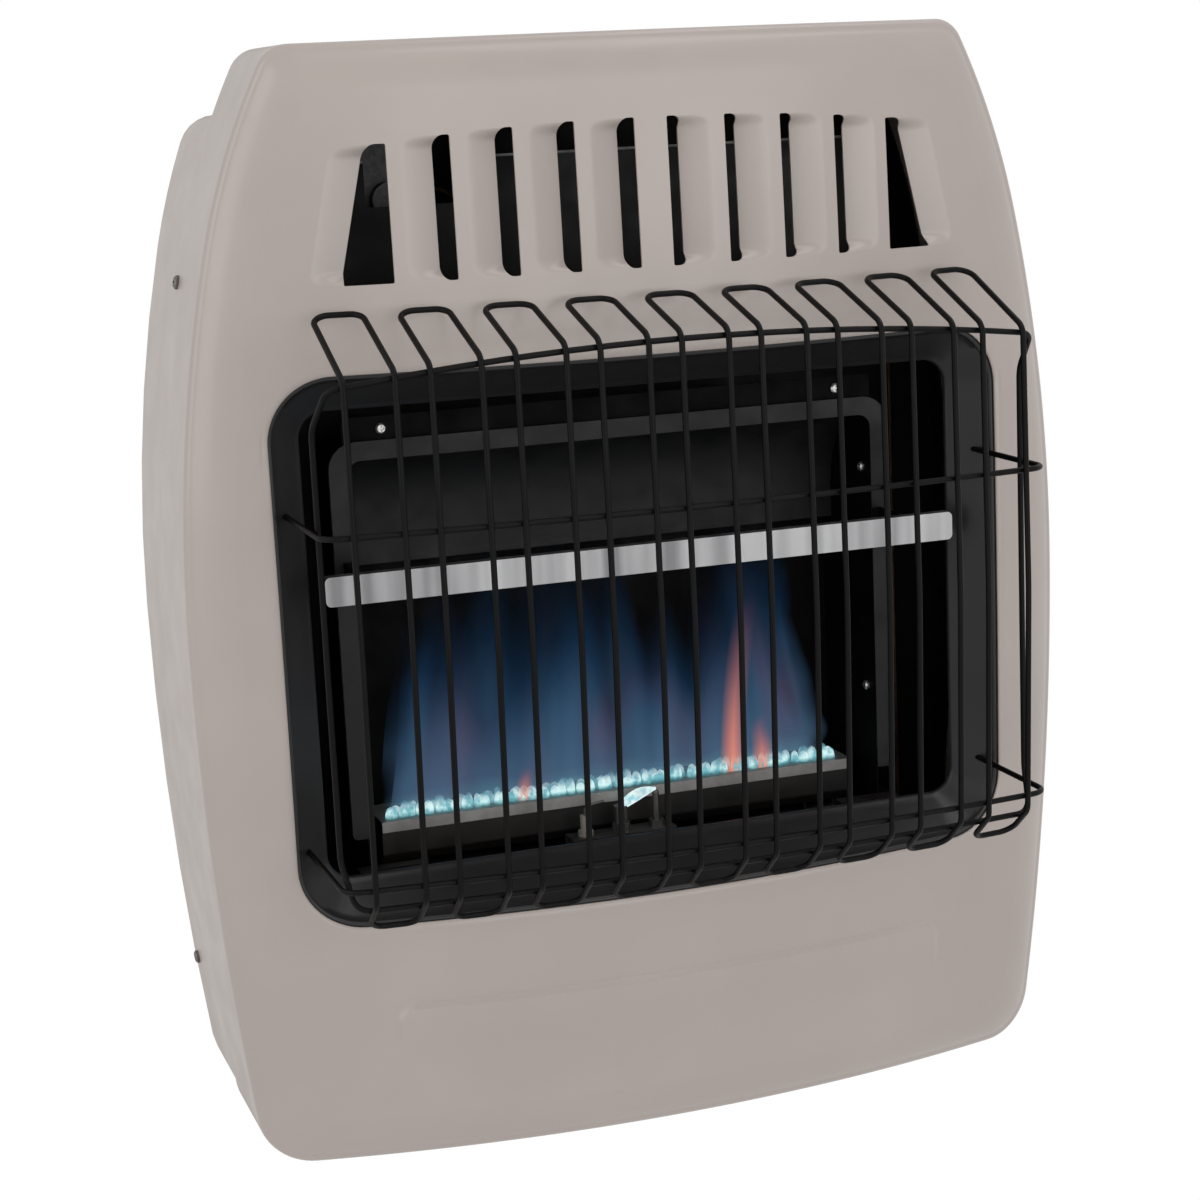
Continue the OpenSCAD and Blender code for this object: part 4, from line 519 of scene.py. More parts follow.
class Finish:
    """One node material, with the few patterns that the finishes here share."""

    def __init__(self, name):
        self.mat = bpy.data.materials.new(name)
        self.mat.use_nodes = True
        self.tree = self.mat.node_tree
        self.bsdf = self.tree.nodes["Principled BSDF"]
        coords = self.node("ShaderNodeTexCoord")
        self.place = coords.outputs["Object"]

    def node(self, kind, **values):
        node = self.tree.nodes.new(kind)
        for key, value in values.items():
            if key in node.inputs:
                node.inputs[key].default_value = value
            else:
                setattr(node, key, value)
        return node

    def link(self, a, b):
        self.tree.links.new(a, b)

    def stretched(self, scale):
        mapping = self.node("ShaderNodeMapping")
        mapping.inputs["Scale"].default_value = scale
        self.link(self.place, mapping.inputs["Vector"])
        return mapping.outputs["Vector"]

    def noise(self, scale, detail=3.0, roughness=0.5, stretch=None):
        node = self.node("ShaderNodeTexNoise", Scale=scale, Detail=detail, Roughness=roughness)
        self.link(self.stretched(stretch) if stretch else self.place, node.inputs["Vector"])
        return node.outputs["Fac"]

    def ramp(self, fac, stops):
        node = self.node("ShaderNodeValToRGB")
        elements = node.color_ramp.elements
        while len(elements) < len(stops):
            elements.new(0.5)
        for element, (position, colour) in zip(elements, stops):
            element.position = position
            element.color = colour if isinstance(colour, tuple) else (colour, colour, colour, 1)
        self.link(fac, node.inputs["Fac"])
        return node.outputs["Color"]

    def colour(self, fac, stops):
        self.link(self.ramp(fac, stops), self.bsdf.inputs["Base Color"])
        return self

    def rough(self, fac, low, high, start=0.3, end=0.7):
        self.link(self.ramp(fac, [(start, low), (end, high)]), self.bsdf.inputs["Roughness"])
        return self

    def bump(self, height, strength, distance, after=None):
        node = self.node("ShaderNodeBump", Strength=strength, Distance=distance)
        self.link(height, node.inputs["Height"])
        if after:
            self.link(after, node.inputs["Normal"])
        self.link(node.outputs["Normal"], self.bsdf.inputs["Normal"])
        return node.outputs["Normal"]

    def set(self, **values):
        for key, value in values.items():
            self.bsdf.inputs[key.replace("_", " ")].default_value = value
        return self


def shade(colour, factor):
    return tuple(min(1.0, c * factor) for c in colour[:3]) + (1.0,)


def enamel(name, colour, rough, coat, specular=0.5):
    """Smooth baked paint: faint mottling, orange peel and uneven gloss."""
    f = Finish(name)
    f.colour(f.noise(9, 4), [(0.35, shade(colour, 0.965)), (0.65, shade(colour, 1.03))])
    f.rough(f.noise(35, 3), rough - 0.04, rough + 0.06)
    f.bump(f.noise(1100, 2), 0.35, 0.00004)
    f.set(Coat_Roughness=0.12)
    # Gloss eases off toward a grazing look, so that the crown keeps its colour from the side
    facing = f.node("ShaderNodeLayerWeight", Blend=0.5).outputs["Facing"]
    f.link(f.ramp(facing, [(0.7, coat), (0.93, 0.0)]), f.bsdf.inputs["Coat Weight"])
    f.link(f.ramp(facing, [(0.7, specular), (0.93, 0.03)]), f.bsdf.inputs["Specular IOR Level"])
    return f.mat


def bare_metal(name, colour, rough, streak=None, scale=60, metallic=1.0):
    """Metal with cloudy or streaked tone and gloss."""
    f = Finish(name)
    f.colour(f.noise(scale, 5, 0.6, streak), [(0.3, shade(colour, 0.72)), (0.7, shade(colour, 1.12))])
    f.rough(f.noise(scale * 2.3, 4, 0.6, streak), rough - 0.08, rough + 0.14)
    f.bump(f.noise(scale * 12, 3, 0.5, streak), 0.25, 0.00006)
    f.set(Metallic=metallic)
    return f.mat


def steel_with_painted_reflections(name):
    """Rolled bright strip with fine lines along it, and soft darker bands across it that are painted
    reflections of the wires in front.
    """
    f = Finish(name)
    # Painted reflection: darker stripes across the bar stand in for the guard wires mirrored in it
    painted_reflection_bands = f.noise(75, 1.5, 0.5, (1, 0.1, 0.04))
    f.colour(painted_reflection_bands, [(0.3, (0.175, 0.175, 0.18, 1)), (0.44, (0.285, 0.285, 0.29, 1)),
                     (0.62, (0.37, 0.37, 0.375, 1))])
    f.rough(f.noise(420, 3, 0.5, (1, 0.1, 0.04)), 0.34, 0.46)
    f.bump(f.noise(900, 2, 0.5, (1, 0.1, 0.04)), 0.12, 0.00003)
    f.set(Metallic=1.0)
    return f.mat


def black_with_painted_edge_highlight(name):
    """Black plate with a bright band painted along its upper front edge as a highlight."""
    f = Finish(name)
    low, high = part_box("heat_shield")
    edge = f.node("ShaderNodeVectorMath", operation="DOT_PRODUCT")
    edge.inputs[1].default_value = (0, -1, 1)
    f.link(f.place, edge.inputs[0])
    # Painted highlight: this mask picks a thin band along the plate's upper front edge, which is coloured
    # bright metal
    highlight_mask = f.node("ShaderNodeMapRange")
    highlight_mask.inputs["From Min"].default_value = high[2] - low[1] - 0.0016
    highlight_mask.inputs["From Max"].default_value = high[2] - low[1] - 0.0008
    f.link(edge.outputs["Value"], highlight_mask.inputs["Value"])
    blend = f.node("ShaderNodeMix", data_type="RGBA")
    f.link(highlight_mask.outputs["Result"], blend.inputs[0])
    paint = f.ramp(f.noise(18, 6, 0.62), [(0.42, srgb(15, 15, 16)), (0.78, srgb(26, 25, 24))])
    painted_highlight = f.ramp(f.noise(90, 4), [(0.3, srgb(120, 120, 122)), (0.7, srgb(190, 190, 192))])
    f.link(paint, blend.inputs[6])
    f.link(painted_highlight, blend.inputs[7])
    f.link(blend.outputs[2], f.bsdf.inputs["Base Color"])
    f.rough(f.noise(60, 4), 0.38, 0.6)
    f.bump(f.noise(1500, 3), 0.4, 0.00006)
    f.set(Specular_IOR_Level=0.3)
    return f.mat


def galvanised(name):
    """Zinc sheet with its crystal spangle."""
    f = Finish(name)
    cells = f.node("ShaderNodeTexVoronoi", Scale=140.0)
    f.link(f.place, cells.inputs["Vector"])
    f.colour(cells.outputs["Color"], [(0.2, (0.40, 0.41, 0.42, 1)), (0.8, (0.60, 0.61, 0.62, 1))])
    f.rough(f.noise(90, 3), 0.38, 0.58)
    f.bump(f.noise(600, 3), 0.2, 0.00005)
    f.set(Metallic=0.85)
    return f.mat


def stove_black(name, colour, stain, rough=0.55, specular=0.3):
    """Heat-proof black paint, dusty and faintly browned by heat."""
    f = Finish(name)
    f.colour(f.noise(18, 6, 0.62), [(0.42, colour), (0.78, stain)])
    f.rough(f.noise(60, 4), rough - 0.12, rough + 0.15)
    f.bump(f.noise(1500, 3), 0.4, 0.00006)
    f.set(Specular_IOR_Level=specular)
    return f.mat


def moulded(name, colour, rough):
    """Moulded plastic with a fine spark-eroded grain."""
    f = Finish(name)
    f.colour(f.noise(40, 3), [(0.3, shade(colour, 0.9)), (0.7, shade(colour, 1.12))])
    f.rough(f.noise(120, 3), rough - 0.05, rough + 0.08)
    f.bump(f.noise(1800, 2), 0.5, 0.00012)
    return f.mat


TAUPE = srgb(166, 156, 150)
MATERIALS = {
    "taupe_enamel": enamel("taupe_enamel", TAUPE, 0.36, 0.2, specular=0.42),
    "charcoal_enamel": enamel("charcoal_enamel", srgb(36, 35, 35), 0.34, 0.06, specular=0.28),
    "guard_wire": enamel("guard_wire", srgb(9, 8, 8), 0.4, 0.0, specular=0.1),
    "galvanised_steel": galvanised("galvanised_steel"),
    # Near black: partly the heater's black paint, partly painted shade for the unlit inside of the casing,
    # with a faint brownish tone
    "heat_stained_steel": stove_black("heat_stained_steel", srgb(4, 4, 4), srgb(9, 8, 8), 0.6, 0.06),
    "dark_steel": stove_black("dark_steel", srgb(16, 16, 17), srgb(30, 28, 27), 0.45),
    "bright_steel": bare_metal("bright_steel", (0.82, 0.82, 0.83, 1), 0.3, (1, 1, 0.05), 120),
    "burner_steel": bare_metal("burner_steel", (0.28, 0.27, 0.26, 1), 0.5, metallic=0.8),
    "brass": bare_metal("brass", (0.72, 0.54, 0.26, 1), 0.32),
    "copper_tube": bare_metal("copper_tube", (0.20, 0.11, 0.07, 1), 0.42),
    "aluminium_tube": bare_metal("aluminium_tube", (0.72, 0.73, 0.74, 1), 0.36),
    "cast_aluminium": bare_metal("cast_aluminium", (0.52, 0.53, 0.54, 1), 0.5, scale=220),
    "porcelain": enamel("porcelain", (0.86, 0.84, 0.78, 1), 0.18, 0.6),
    "silicone_lead": moulded("silicone_lead", srgb(24, 24, 25), 0.5),
    "black_plastic": moulded("black_plastic", srgb(30, 30, 31), 0.5),
    "red_plastic": moulded("red_plastic", srgb(170, 26, 20), 0.32),
}

# Pieces whose own finish departs from their slot's: sooted, plated, darkened as painted shade, bright at an
# edge as a painted highlight, or banded with painted reflections
OWN_FINISH = {
    "frame_black": (stove_black("frame_black", srgb(13, 13, 14), srgb(18, 17, 17), 0.4, 0.22),
                    ["firebox_front_frame"]),
    "sooted_steel": (stove_black("sooted_steel", srgb(17, 15, 14), srgb(34, 29, 25), 0.5),
                     ["burner_body", "burner_brackets", "firebox_floor"]),
    "sooted_porcelain": (enamel("sooted_porcelain", (0.26, 0.24, 0.21, 1), 0.4, 0.1),
                         ["electrode_insulator"]),
    # Painted shade: the valve and regulator are darkened so that they look unlit inside the casing
    "casting_painted_shade": (bare_metal("casting_painted_shade", (0.20, 0.20, 0.205, 1), 0.55, scale=220),
                     ["control_valve", "gas_regulator"]),
    # The bar's darker bands are painted reflections
    "bar_steel_painted_reflections": (steel_with_painted_reflections("bar_steel_painted_reflections"), ["deflector_bar"]),
    # The shield's bright upper edge is a painted highlight
    "shield_black_painted_highlight": (black_with_painted_edge_highlight("shield_black_painted_highlight"), ["heat_shield"]),
    "pilot_steel": (bare_metal("pilot_steel", (0.13, 0.125, 0.12, 1), 0.4, metallic=0.9),
                    ["pilot_bracket", "pilot_burner", "thermocouple", "ignition_electrode"]),
    "zinc_screw": (bare_metal("zinc_screw", (0.17, 0.16, 0.15, 1), 0.42, scale=300),
                   ["panel_screws", "back_screws"]),
    "plated_screw": (bare_metal("plated_screw", (0.50, 0.49, 0.47, 1), 0.35, scale=300),
                     ["firebox_screws"]),
}

SLOT_OF = {part["node"]: part["material_slot"] for part in frame["record"]["subparts"]}


def dress_nodes():
    for name, node in nodes.items():
        node.data.materials.clear()
        node.data.materials.append(MATERIALS[SLOT_OF[name]])
    for material, names in OWN_FINISH.values():
        for name in names:
            nodes[name].data.materials[0] = material


# ---------- pieces that stand for faceted nodes ----------

def make_front_panel():
    taupe = MATERIALS["taupe_enamel"]
    verts, faces = skin(panel_rings(0.0) + panel_rings(SHEET)[::-1])
    panel = new_piece("front_panel_sheet", verts, faces, taupe)
    cutters = bpy.data.meshes.new("louvre_cutters")
    cut_verts, cut_faces = [], []
    for i in range(LOUVRES):
        for side in (1, -1):
            v, f = louvre_cutter(i, side)
            if side < 0:
                f = [tuple(reversed(q)) for q in f]
            cut_faces += [tuple(k + len(cut_verts) for k in q) for q in f]
            cut_verts += v
    cutters.from_pydata(cut_verts, [], cut_faces)
    cutter = bpy.data.objects.new("louvre_cutters", cutters)
    bpy.context.scene.collection.objects.link(cutter)
    for mesh in (panel.data, cutters):
        outward(mesh)
    cut = panel.modifiers.new("louvres", "BOOLEAN")
    cut.object = cutter
    cut.operation = "DIFFERENCE"
    cut.solver = "MANIFOLD"
    depsgraph = bpy.context.evaluated_depsgraph_get()
    result = bpy.data.meshes.new_from_object(panel.evaluated_get(depsgraph))
    panel.modifiers.clear()
    panel.data = result
    bpy.data.objects.remove(cutter)
    smooth_by_angle(panel, 35)
    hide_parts("front_panel")
    for i in range(LOUVRES):
        for side, word in ((1, "right"), (-1, "left")):
            v, f = ramp_mesh(i, side)
            ramp = new_piece(f"louvre_{word}_{i + 1}", v, f, taupe, smooth=50)
            outward(ramp.data)


def outward(mesh):
    bm = bmesh.new()
    bm.from_mesh(mesh)
    bmesh.ops.recalc_face_normals(bm, faces=bm.faces)
    bm.to_mesh(mesh)
    bm.free()


def make_bezel():
    rim = LIP + SHEET + BEZEL_SEAT
    slant = BEZEL_SLANT * SHEET
    face_rings = [ring(window_outline(-BEZEL_RIM), rim), ring(window_outline(0.0004), rim)]
    for k in range(1, BEND_ROWS + 1):
        a = k * pi / (2 * BEND_ROWS)
        fold = ring(window_outline(0.0004 + BEZEL_FOLD_R * sin(a)), rim + BEZEL_FOLD_R * (1 - cos(a)))
        face_rings.append(fold)
    start = ring(window_outline(0.0028), rim + 0.0026)
    end = flat_ring(window_outline(BEZEL_W), -BEZEL_Y)
    rows = 8
    for k in range(1, rows + 1):
        t = k / rows * 0.985
        face_rings.append([tuple(p * (1 - t) + q * t for p, q in zip(a, b)) for a, b in zip(start, end)])
    hem = ((BEZEL_W + 0.0006, 0.0004), (BEZEL_W + 0.0010, 0.0014), (BEZEL_W + 0.0010, 0.003),
           (BEZEL_W, 0.003), (BEZEL_W - 0.0005, slant))
    face_rings += [flat_ring(window_outline(s), -BEZEL_Y + back) for s, back in hem]
    face_rings.append(ring(window_outline(0.002), rim + 0.001 + slant))
    face_rings.append(ring(window_outline(0.0004), rim + SHEET))
    face_rings.append(ring(window_outline(-BEZEL_RIM), rim + SHEET))
    verts, faces = skin(face_rings)
    bezel = new_piece("window_bezel_sheet", verts, faces, MATERIALS["charcoal_enamel"], smooth=35)
    outward(bezel.data)
    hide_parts("window_bezel")


def make_guard():
    black = MATERIALS["guard_wire"]
    loops = wire_piece("guard_loop_wires", [loop_path(i) for i in range(LOOP_N)], True, WIRE_D, black)
    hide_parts("guard_loops")
    rods = wire_piece("guard_rod_wires", [rod_path(z) for z in ROD_Z], False, WIRE_D, black)
    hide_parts("guard_cross_rods")
    ring_wire = wire_piece("guard_ring_wire", [ring_path()], True, WIRE_D, black)
    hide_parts("guard_ring")


# ---------- hood of the firebox ----------

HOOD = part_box("heat_hood")
HOOD_T = 0.001
HOOD_R = HOOD[1][1] - HOOD[0][1]
HOOD_CORNER_R = 0.011


def hood_row(r, low, turn_steps=36):
    """Profile of the hood at this radius as (y, z): over the arc from its front edge, then down the lip."""
    cy, cz = HOOD[0][1], HOOD[1][2] - HOOD_R
    arc_part = [(cy + r * sin(pi / 2 * k / turn_steps), cz + r * cos(pi / 2 * k / turn_steps))
                for k in range(turn_steps + 1)]
    return arc_part + [(cy + r, cz + (low - cz) * k / 4) for k in range(1, 5)]


def make_hood():
    """The curved deflector under the roof, whose ends follow the roof's rounded corners."""
    outer, inner = hood_row(HOOD_R, HOOD[0][2]), hood_row(HOOD_R - HOOD_T, HOOD[0][2])
    profile = outer + inner[::-1]
    half, top = HOOD[1][0], HOOD[1][2]
    n, verts = len(profile), []
    for side in (-1, 1):
        for y, z in profile:
            rise = max(0.0, z - top + HOOD_CORNER_R)
            x = half - HOOD_CORNER_R + sqrt(HOOD_CORNER_R ** 2 - rise ** 2)
            verts.append((side * x, y, z - BASE_Z))
    faces = [(j, (j + 1) % n, n + (j + 1) % n, n + j) for j in range(n)]
    faces += [(j, n - 1 - j, n - 2 - j, j + 1) for j in range(n // 2 - 1)]
    faces += [(n + j + 1, 2 * n - 2 - j, 2 * n - 1 - j, n + j) for j in range(n // 2 - 1)]
    black = stove_black("hood_black", srgb(15, 15, 16), srgb(24, 22, 21), 0.5, 0.25)
    hood = new_piece("heat_hood_sheet", verts, faces, black, smooth=35)
    outward(hood.data)
    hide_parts("heat_hood")


# ---------- flames ----------

FLAME_Y = (BURNER[0][1] + BURNER[1][1]) / 2
FLAME_BASE = BURNER[1][2] + 0.0003
FLAME_HALF = (BURNER[1][0] - BURNER[0][0]) / 2 - 0.006
FLAME_TOP = 0.150
FLAME_LEAN = 0.17
PORT_PITCH = 0.0056
PORT_H = 0.0088
PORT_R = 0.0031
PORT_ROWS = ((-0.0125, 1.0), (-0.0065, 0.88))


def glowing(f, colour, strength, cover):
    """Ends a finish as glowing gas that covers what is behind it by this much."""
    glow = f.node("ShaderNodeEmission", Strength=strength)
    f.link(colour, glow.inputs["Color"])
    clear = f.node("ShaderNodeBsdfTransparent")
    mix = f.node("ShaderNodeMixShader")
    f.link(cover, mix.inputs["Fac"])
    f.link(clear.outputs[0], mix.inputs[1])
    f.link(glow.outputs[0], mix.inputs[2])
    f.tree.nodes.remove(f.bsdf)
    f.link(mix.outputs[0], f.tree.nodes["Material Output"].inputs["Surface"])
    return f.mat


def flow(f, scale, seed):
    """Noise stretched along the flow of a flame sheet."""
    uv = f.node("ShaderNodeUVMap", uv_map="flow")
    stretch = f.node("ShaderNodeMapping")
    stretch.inputs["Scale"].default_value = (*scale, 1.0)
    stretch.inputs["Location"].default_value = (seed, seed * 0.7, 0)
    f.link(uv.outputs["UV"], stretch.inputs["Vector"])
    tongues = f.node("ShaderNodeTexNoise", Scale=1.0, Detail=1.5, Roughness=0.4, Distortion=0.2)
    f.link(stretch.outputs["Vector"], tongues.inputs["Vector"])
    return tongues.outputs["Fac"]


def times(f, a, b, operation="MULTIPLY"):
    node = f.node("ShaderNodeMath", operation=operation)
    f.link(a, node.inputs[0])
    f.link(b, node.inputs[1])
    return node.outputs[0]


def ends(f, seed):
    """Cover across a curtain: full but at its two ends, which fade unevenly."""
    uv = f.node("ShaderNodeUVMap", uv_map="across")
    split = f.node("ShaderNodeSeparateXYZ")
    f.link(uv.outputs["UV"], split.inputs["Vector"])
    sway = f.ramp(flow(f, (0.8, 2.6), seed), [(0.3, 0.0), (0.7, 0.06)])
    place = times(f, split.outputs["X"], sway, "ADD")
    return f.ramp(place, [(0.02, 0.0), (0.085, 1.0), (0.955, 1.0), (1.02, 0.0)])


def flame_material(name, body, tint, strength, seed, thick):
    """Blue gas: tongues of uneven height that fade to dark blue, with a tint drifting through."""
    f = Finish(name)
    uv = f.node("ShaderNodeUVMap", uv_map="flow")
    split = f.node("ShaderNodeSeparateXYZ")
    f.link(uv.outputs["UV"], split.inputs["Vector"])
    reach = f.ramp(flow(f, (2.3, 0.3), seed), [(0.34, 0.5), (0.60, 1.0)])
    share = times(f, split.outputs["Y"], reach, "DIVIDE")
    cover = f.ramp(share, [(0.0, 1.0), (0.35, 0.95), (0.6, 0.72), (0.82, 0.3), (1.0, 0.0)])
    streaks = f.ramp(flow(f, (6.5, 1.1), seed + 4), [(0.28, thick * 0.55), (0.68, thick)])
    blend = f.node("ShaderNodeMix", data_type="RGBA")
    f.link(f.ramp(flow(f, (3.1, 1.3), seed + 9), [(0.5, 0.0), (0.72, 0.85)]), blend.inputs[0])
    f.link(f.ramp(share, body), blend.inputs[6])
    f.link(f.ramp(share, tint), blend.inputs[7])
    return glowing(f, blend.outputs[2], strength, times(f, times(f, cover, streaks), ends(f, seed + 2)))


def streak_material(name, base, tip, strength, thick):
    """A thin coloured tongue, soft at its sides and its tip."""
    f = Finish(name)
    uv = f.node("ShaderNodeUVMap", uv_map="across")
    split = f.node("ShaderNodeSeparateXYZ")
    f.link(uv.outputs["UV"], split.inputs["Vector"])
    sides = f.ramp(split.outputs["X"], [(0.0, 0.0), (0.5, 1.0), (1.0, 0.0)])
    fade = f.ramp(split.outputs["Y"], [(0.0, thick), (0.35, thick * 0.8), (1.0, 0.0)])
    colour = f.ramp(split.outputs["Y"], [(0.0, base), (1.0, tip)])
    return glowing(f, colour, strength, times(f, sides, fade))


def flame_sheet(name, x0, x1, y, height, material, wave, seed, lean=0.0):
    """Wavy upright sheet over the ports, with UVs that run along and up it."""
    along, up = max(8, round((x1 - x0) * 420)), 30
    verts, uvs, across = [], [], []
    for k in range(up + 1):
        v = k / up
        for j in range(along + 1):
            u = j / along
            x = x0 + (x1 - x0) * u
            drift = noise.noise(Vector((x * 28, v * 2.0, seed))) * 0.004 * v
            narrow = FLAME_LEAN * v * (x - (x0 + x1) / 2)
            sway = wave * noise.noise(Vector((x * 40, v * 3, seed + 5)))
            verts.append((x + drift - narrow + lean * v * v, y + sway, FLAME_BASE + height * v - BASE_Z))
            uvs.append((x / 0.1, v))
            across.append((u, v))
    n = along + 1
    faces = [(k * n + j, k * n + j + 1, (k + 1) * n + j + 1, (k + 1) * n + j)
             for k in range(up) for j in range(along)]
    piece = new_piece(name, verts, faces, material, smooth=180)
    for layer_name, values in (("flow", uvs), ("across", across)):
        layer = piece.data.uv_layers.new(name=layer_name)
        for loop in piece.data.loops:
            layer.data[loop.index].uv = values[loop.vertex_index]
    piece.visible_shadow = False
    return piece


def port_flames(material):
    """Short bright cones over the ports, in two rows."""
    count = int(2 * FLAME_HALF / PORT_PITCH)
    sides, levels = 8, 5
    verts, faces = [], []
    for row, (back, share) in enumerate(PORT_ROWS):
        for k in range(count):
            x = -FLAME_HALF + 2 * FLAME_HALF * (k + 0.25 + 0.5 * row) / count
            tall = PORT_H * share * (0.9 + 0.5 * noise.noise(Vector((x * 310, row * 3.0, 0.5))))
            wide = PORT_R * (1 + 0.4 * noise.noise(Vector((x * 270, row * 5.0, 4.5))))
            y = FLAME_Y + back
            x += 0.003 * noise.noise(Vector((x * 290, row * 7.0, 8.5)))
            start = len(verts)
            for level in range(levels):
                t = level / levels
                r = wide * sqrt(1 - t) * (1 + 0.5 * t)
                verts += [(x + r * cos(2 * pi * q / sides), y + r * sin(2 * pi * q / sides),
                           FLAME_BASE + tall * t - BASE_Z) for q in range(sides)]
            verts.append((x, y, FLAME_BASE + tall - BASE_Z))
            for level in range(levels - 1):
                a = start + level * sides
                faces += [(a + q, a + (q + 1) % sides, a + sides + (q + 1) % sides, a + sides + q)
                          for q in range(sides)]
            a = start + (levels - 1) * sides
            faces += [(a + q, a + (q + 1) % sides, len(verts) - 1) for q in range(sides)]
    piece = new_piece("flame_ports", verts, faces, material, smooth=180)
    piece.visible_shadow = False


def port_material():
    f = Finish("flame_ports")
    split = f.node("ShaderNodeSeparateXYZ")
    f.link(f.place, split.inputs["Vector"])
    rise = f.node("ShaderNodeMapRange")
    rise.inputs["From Min"].default_value = FLAME_BASE
    rise.inputs["From Max"].default_value = FLAME_BASE + PORT_H
    f.link(split.outputs["Z"], rise.inputs["Value"])
    height = rise.outputs["Result"]
    blend = f.node("ShaderNodeMix", data_type="RGBA")
    f.link(f.ramp(f.noise(170, 2), [(0.4, 0.0), (0.58, 1.0)]), blend.inputs[0])
    dim = f.ramp(height, [(0.0, srgb(52, 118, 130)), (0.35, srgb(122, 190, 200)),
                          (1.0, srgb(76, 132, 158))])
    bright = f.ramp(height, [(0.0, srgb(80, 160, 170)), (0.3, srgb(214, 250, 250)),
                             (0.6, srgb(224, 250, 250)), (1.0, srgb(110, 170, 192))])
    f.link(dim, blend.inputs[6])
    f.link(bright, blend.inputs[7])
    cover = f.ramp(height, [(0.0, 0.7), (0.3, 0.92), (0.6, 0.6), (1.0, 0.04)])
    return glowing(f, blend.outputs[2], 1.0, cover)


def pilot_flame():
    """Small flame from the pilot's mouth past the tip of the thermocouple."""
    pilot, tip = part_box("pilot_burner"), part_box("thermocouple")
    a = Vector(((pilot[0][0] + pilot[1][0]) / 2, (pilot[0][1] + pilot[1][1]) / 2, pilot[1][2] - 0.001))
    b = Vector((tip[0][0] + 0.004, a.y - 0.002, tip[1][2] + 0.001))
    path = [a.lerp(b, t) + Vector((0, 0, 0.002 * sin(pi * t))) for t in (k / 12 for k in range(13))]
    curve = bpy.data.curves.new("flame_pilot", "CURVE")
    curve.dimensions = "3D"
    curve.bevel_depth = 0.0034
    curve.bevel_resolution = 4
    spline = curve.splines.new("POLY")
    spline.points.add(len(path) - 1)
    for k, (point, place) in enumerate(zip(spline.points, path)):
        point.co = (*place, 1)
        point.radius = 0.25 + 0.75 * sin(pi * min(1.0, 0.12 + k / 13)) ** 0.8
    f = Finish("flame_pilot")
    colour = f.ramp(f.noise(220, 2), [(0.35, srgb(150, 215, 228)), (0.55, srgb(238, 252, 250))])
    cover = f.ramp(f.noise(160, 2), [(0.3, 0.45), (0.55, 0.92)])
    curve.materials.append(glowing(f, colour, 1.0, cover))
    piece = bpy.data.objects.new("flame_pilot", curve)
    bpy.context.scene.collection.objects.link(piece)
    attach(piece, "casing")
    piece.visible_shadow = False


def make_flames():
    blue = [(0.0, srgb(108, 160, 176)), (0.07, srgb(76, 106, 136)), (0.34, srgb(58, 88, 118)),
            (0.62, srgb(24, 54, 82)), (1.0, srgb(6, 24, 42))]
    mauve = [(0.0, srgb(108, 156, 172)), (0.07, srgb(94, 102, 130)), (0.34, srgb(92, 82, 110)),
             (0.62, srgb(56, 42, 60)), (1.0, srgb(12, 14, 26))]
    front = flame_material("flame_front", blue, mauve, 0.95, 8.4, 0.72)
    back = flame_material("flame_back", blue, mauve, 0.85, 3.1, 0.66)
    for k, (offset, material) in enumerate(((0.011, back), (-0.011, front))):
        flame_sheet(f"flame_curtain_{k + 1}", -FLAME_HALF, FLAME_HALF, FLAME_Y + offset, FLAME_TOP, material,
                    0.004, 2.0 * k)
    salmon = streak_material("flame_salmon", srgb(246, 150, 122), srgb(120, 70, 96), 0.95, 0.9)
    for k, (x, width, height, lean) in enumerate((
            (-0.0595, 0.011, 0.020, 0.001), (0.072, 0.017, 0.105, 0.012), (0.091, 0.015, 0.034, 0.0))):
        flame_sheet(f"flame_streak_{k + 1}", x - width / 2, x + width / 2, FLAME_Y - 0.0145, height, salmon,
                    0.0015, 7.0 + k, lean)
    port_flames(port_material())
    pilot_flame()


# ---------- room, light and camera ----------

CAMERA_AT = (-0.46405, -1.44015, 0.07393)
CAMERA_AXES = ((0.94335, -0.32875, -0.04532), (0.10727, 0.17283, 0.97906), (-0.3141, -0.9284, 0.1983))
CAMERA_LENS = 75.3
SENSOR = 36.0
FLOOR_DROP = 0.35
FLOOR_HALF = 12
LAMPS_AIM = (0.0, -0.1, -0.2)


def make_camera():
    data = bpy.data.cameras.new("camera")
    data.sensor_width = SENSOR
    data.lens = CAMERA_LENS
    camera = bpy.data.objects.new("camera", data)
    bpy.context.scene.collection.objects.link(camera)
    axes = Matrix(CAMERA_AXES).transposed().to_4x4()
    camera.matrix_world = Matrix.Translation(CAMERA_AT) @ axes
    bpy.context.scene.camera = camera


def seen_white(tree):
    """1 for the rays that show the backdrop: the camera's, and those that metal and glass send on."""
    rays = tree.nodes.new("ShaderNodeLightPath")
    seen = rays.outputs["Is Camera Ray"]
    for kind in ("Is Glossy Ray", "Is Transmission Ray"):
        both = tree.nodes.new("ShaderNodeMath")
        both.operation = "MAXIMUM"
        tree.links.new(seen, both.inputs[0])
        tree.links.new(rays.outputs[kind], both.inputs[1])
        seen = both.outputs[0]
    return seen


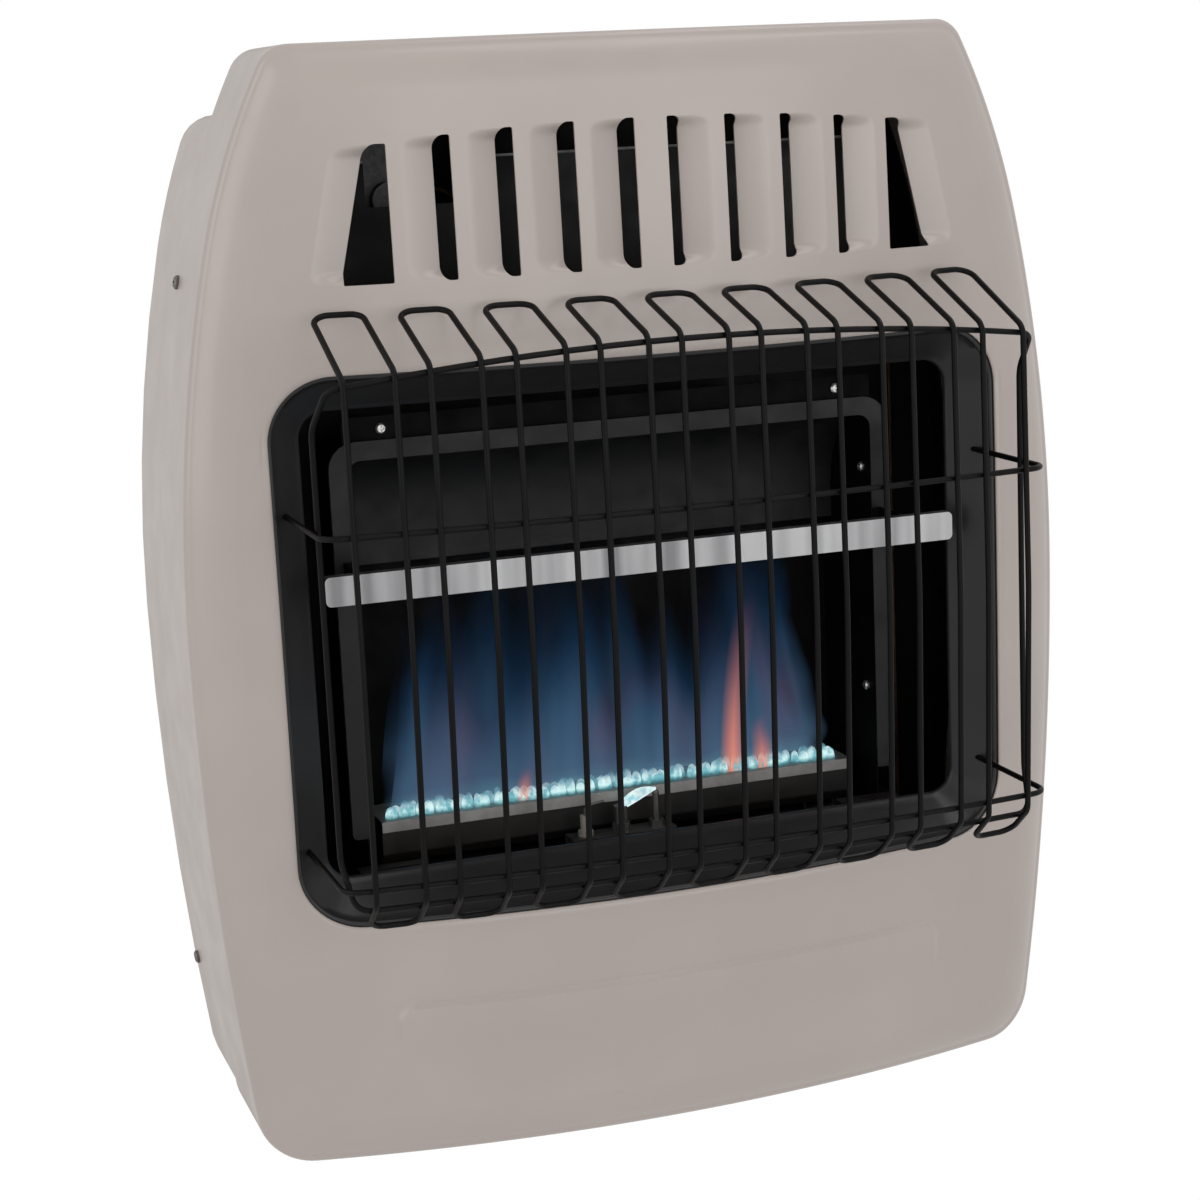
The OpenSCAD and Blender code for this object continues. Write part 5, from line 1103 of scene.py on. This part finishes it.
def make_floor():
    f = Finish("floor_white")
    f.colour(f.noise(3, 3), [(0.3, (0.80, 0.80, 0.80, 1)), (0.7, (0.84, 0.84, 0.84, 1))])
    f.set(Roughness=0.7)
    white = f.node("ShaderNodeEmission", Strength=1.03)
    mix = f.node("ShaderNodeMixShader")
    soften = f.node("ShaderNodeMath", operation="MULTIPLY")
    soften.inputs[1].default_value = 0.94
    f.link(seen_white(f.tree), soften.inputs[0])
    f.link(soften.outputs[0], mix.inputs["Fac"])
    f.link(f.bsdf.outputs[0], mix.inputs[1])
    f.link(white.outputs[0], mix.inputs[2])
    f.link(mix.outputs[0], f.tree.nodes["Material Output"].inputs["Surface"])
    mesh = bpy.data.meshes.new("floor")
    z = BASE_Z - FLOOR_DROP
    h = FLOOR_HALF
    mesh.from_pydata([(-h, -h, z), (h, -h, z), (h, h, z), (-h, h, z)], [], [(0, 1, 2, 3)])
    mesh.materials.append(f.mat)
    floor = bpy.data.objects.new("floor", mesh)
    bpy.context.scene.collection.objects.link(floor)


def make_world():
    world = bpy.data.worlds.new("studio")
    world.use_nodes = True
    tree = world.node_tree
    base = tree.nodes["Background"]
    base.inputs["Color"].default_value = (0.98, 0.98, 0.99, 1)
    base.inputs["Strength"].default_value = 0.62
    seen = tree.nodes.new("ShaderNodeBackground")
    seen.inputs["Color"].default_value = (1, 1, 1, 1)
    seen.inputs["Strength"].default_value = 1.0
    mix = tree.nodes.new("ShaderNodeMixShader")
    tree.links.new(seen_white(tree), mix.inputs["Fac"])
    tree.links.new(base.outputs[0], mix.inputs[1])
    tree.links.new(seen.outputs[0], mix.inputs[2])
    tree.links.new(mix.outputs[0], tree.nodes["World Output"].inputs["Surface"])
    bpy.context.scene.world = world


def area_light(name, at, target, size, power):
    data = bpy.data.lights.new(name, "AREA")
    data.shape = "RECTANGLE"
    data.size, data.size_y = size
    data.energy = power
    lamp = bpy.data.objects.new(name, data)
    bpy.context.scene.collection.objects.link(lamp)
    lamp.location = at
    lamp.rotation_euler = (Vector(target) - Vector(at)).to_track_quat("-Z", "Y").to_euler()


def make_lights():
    area_light("key_left", (-2.6, -1.0, 0.7), LAMPS_AIM, (1.6, 2.2), 22)
    area_light("fill_front", (0.8, -3.0, 0.3), LAMPS_AIM, (2.4, 1.8), 25)
    area_light("rim_top", (0.9, -0.7, 2.3), LAMPS_AIM, (2.0, 1.2), 15)


dress_nodes()
make_front_panel()
make_bezel()
make_guard()
make_hood()
make_flames()
make_camera()
make_floor()
make_world()
make_lights()

scene = bpy.context.scene
scene.view_settings.view_transform = "Standard"
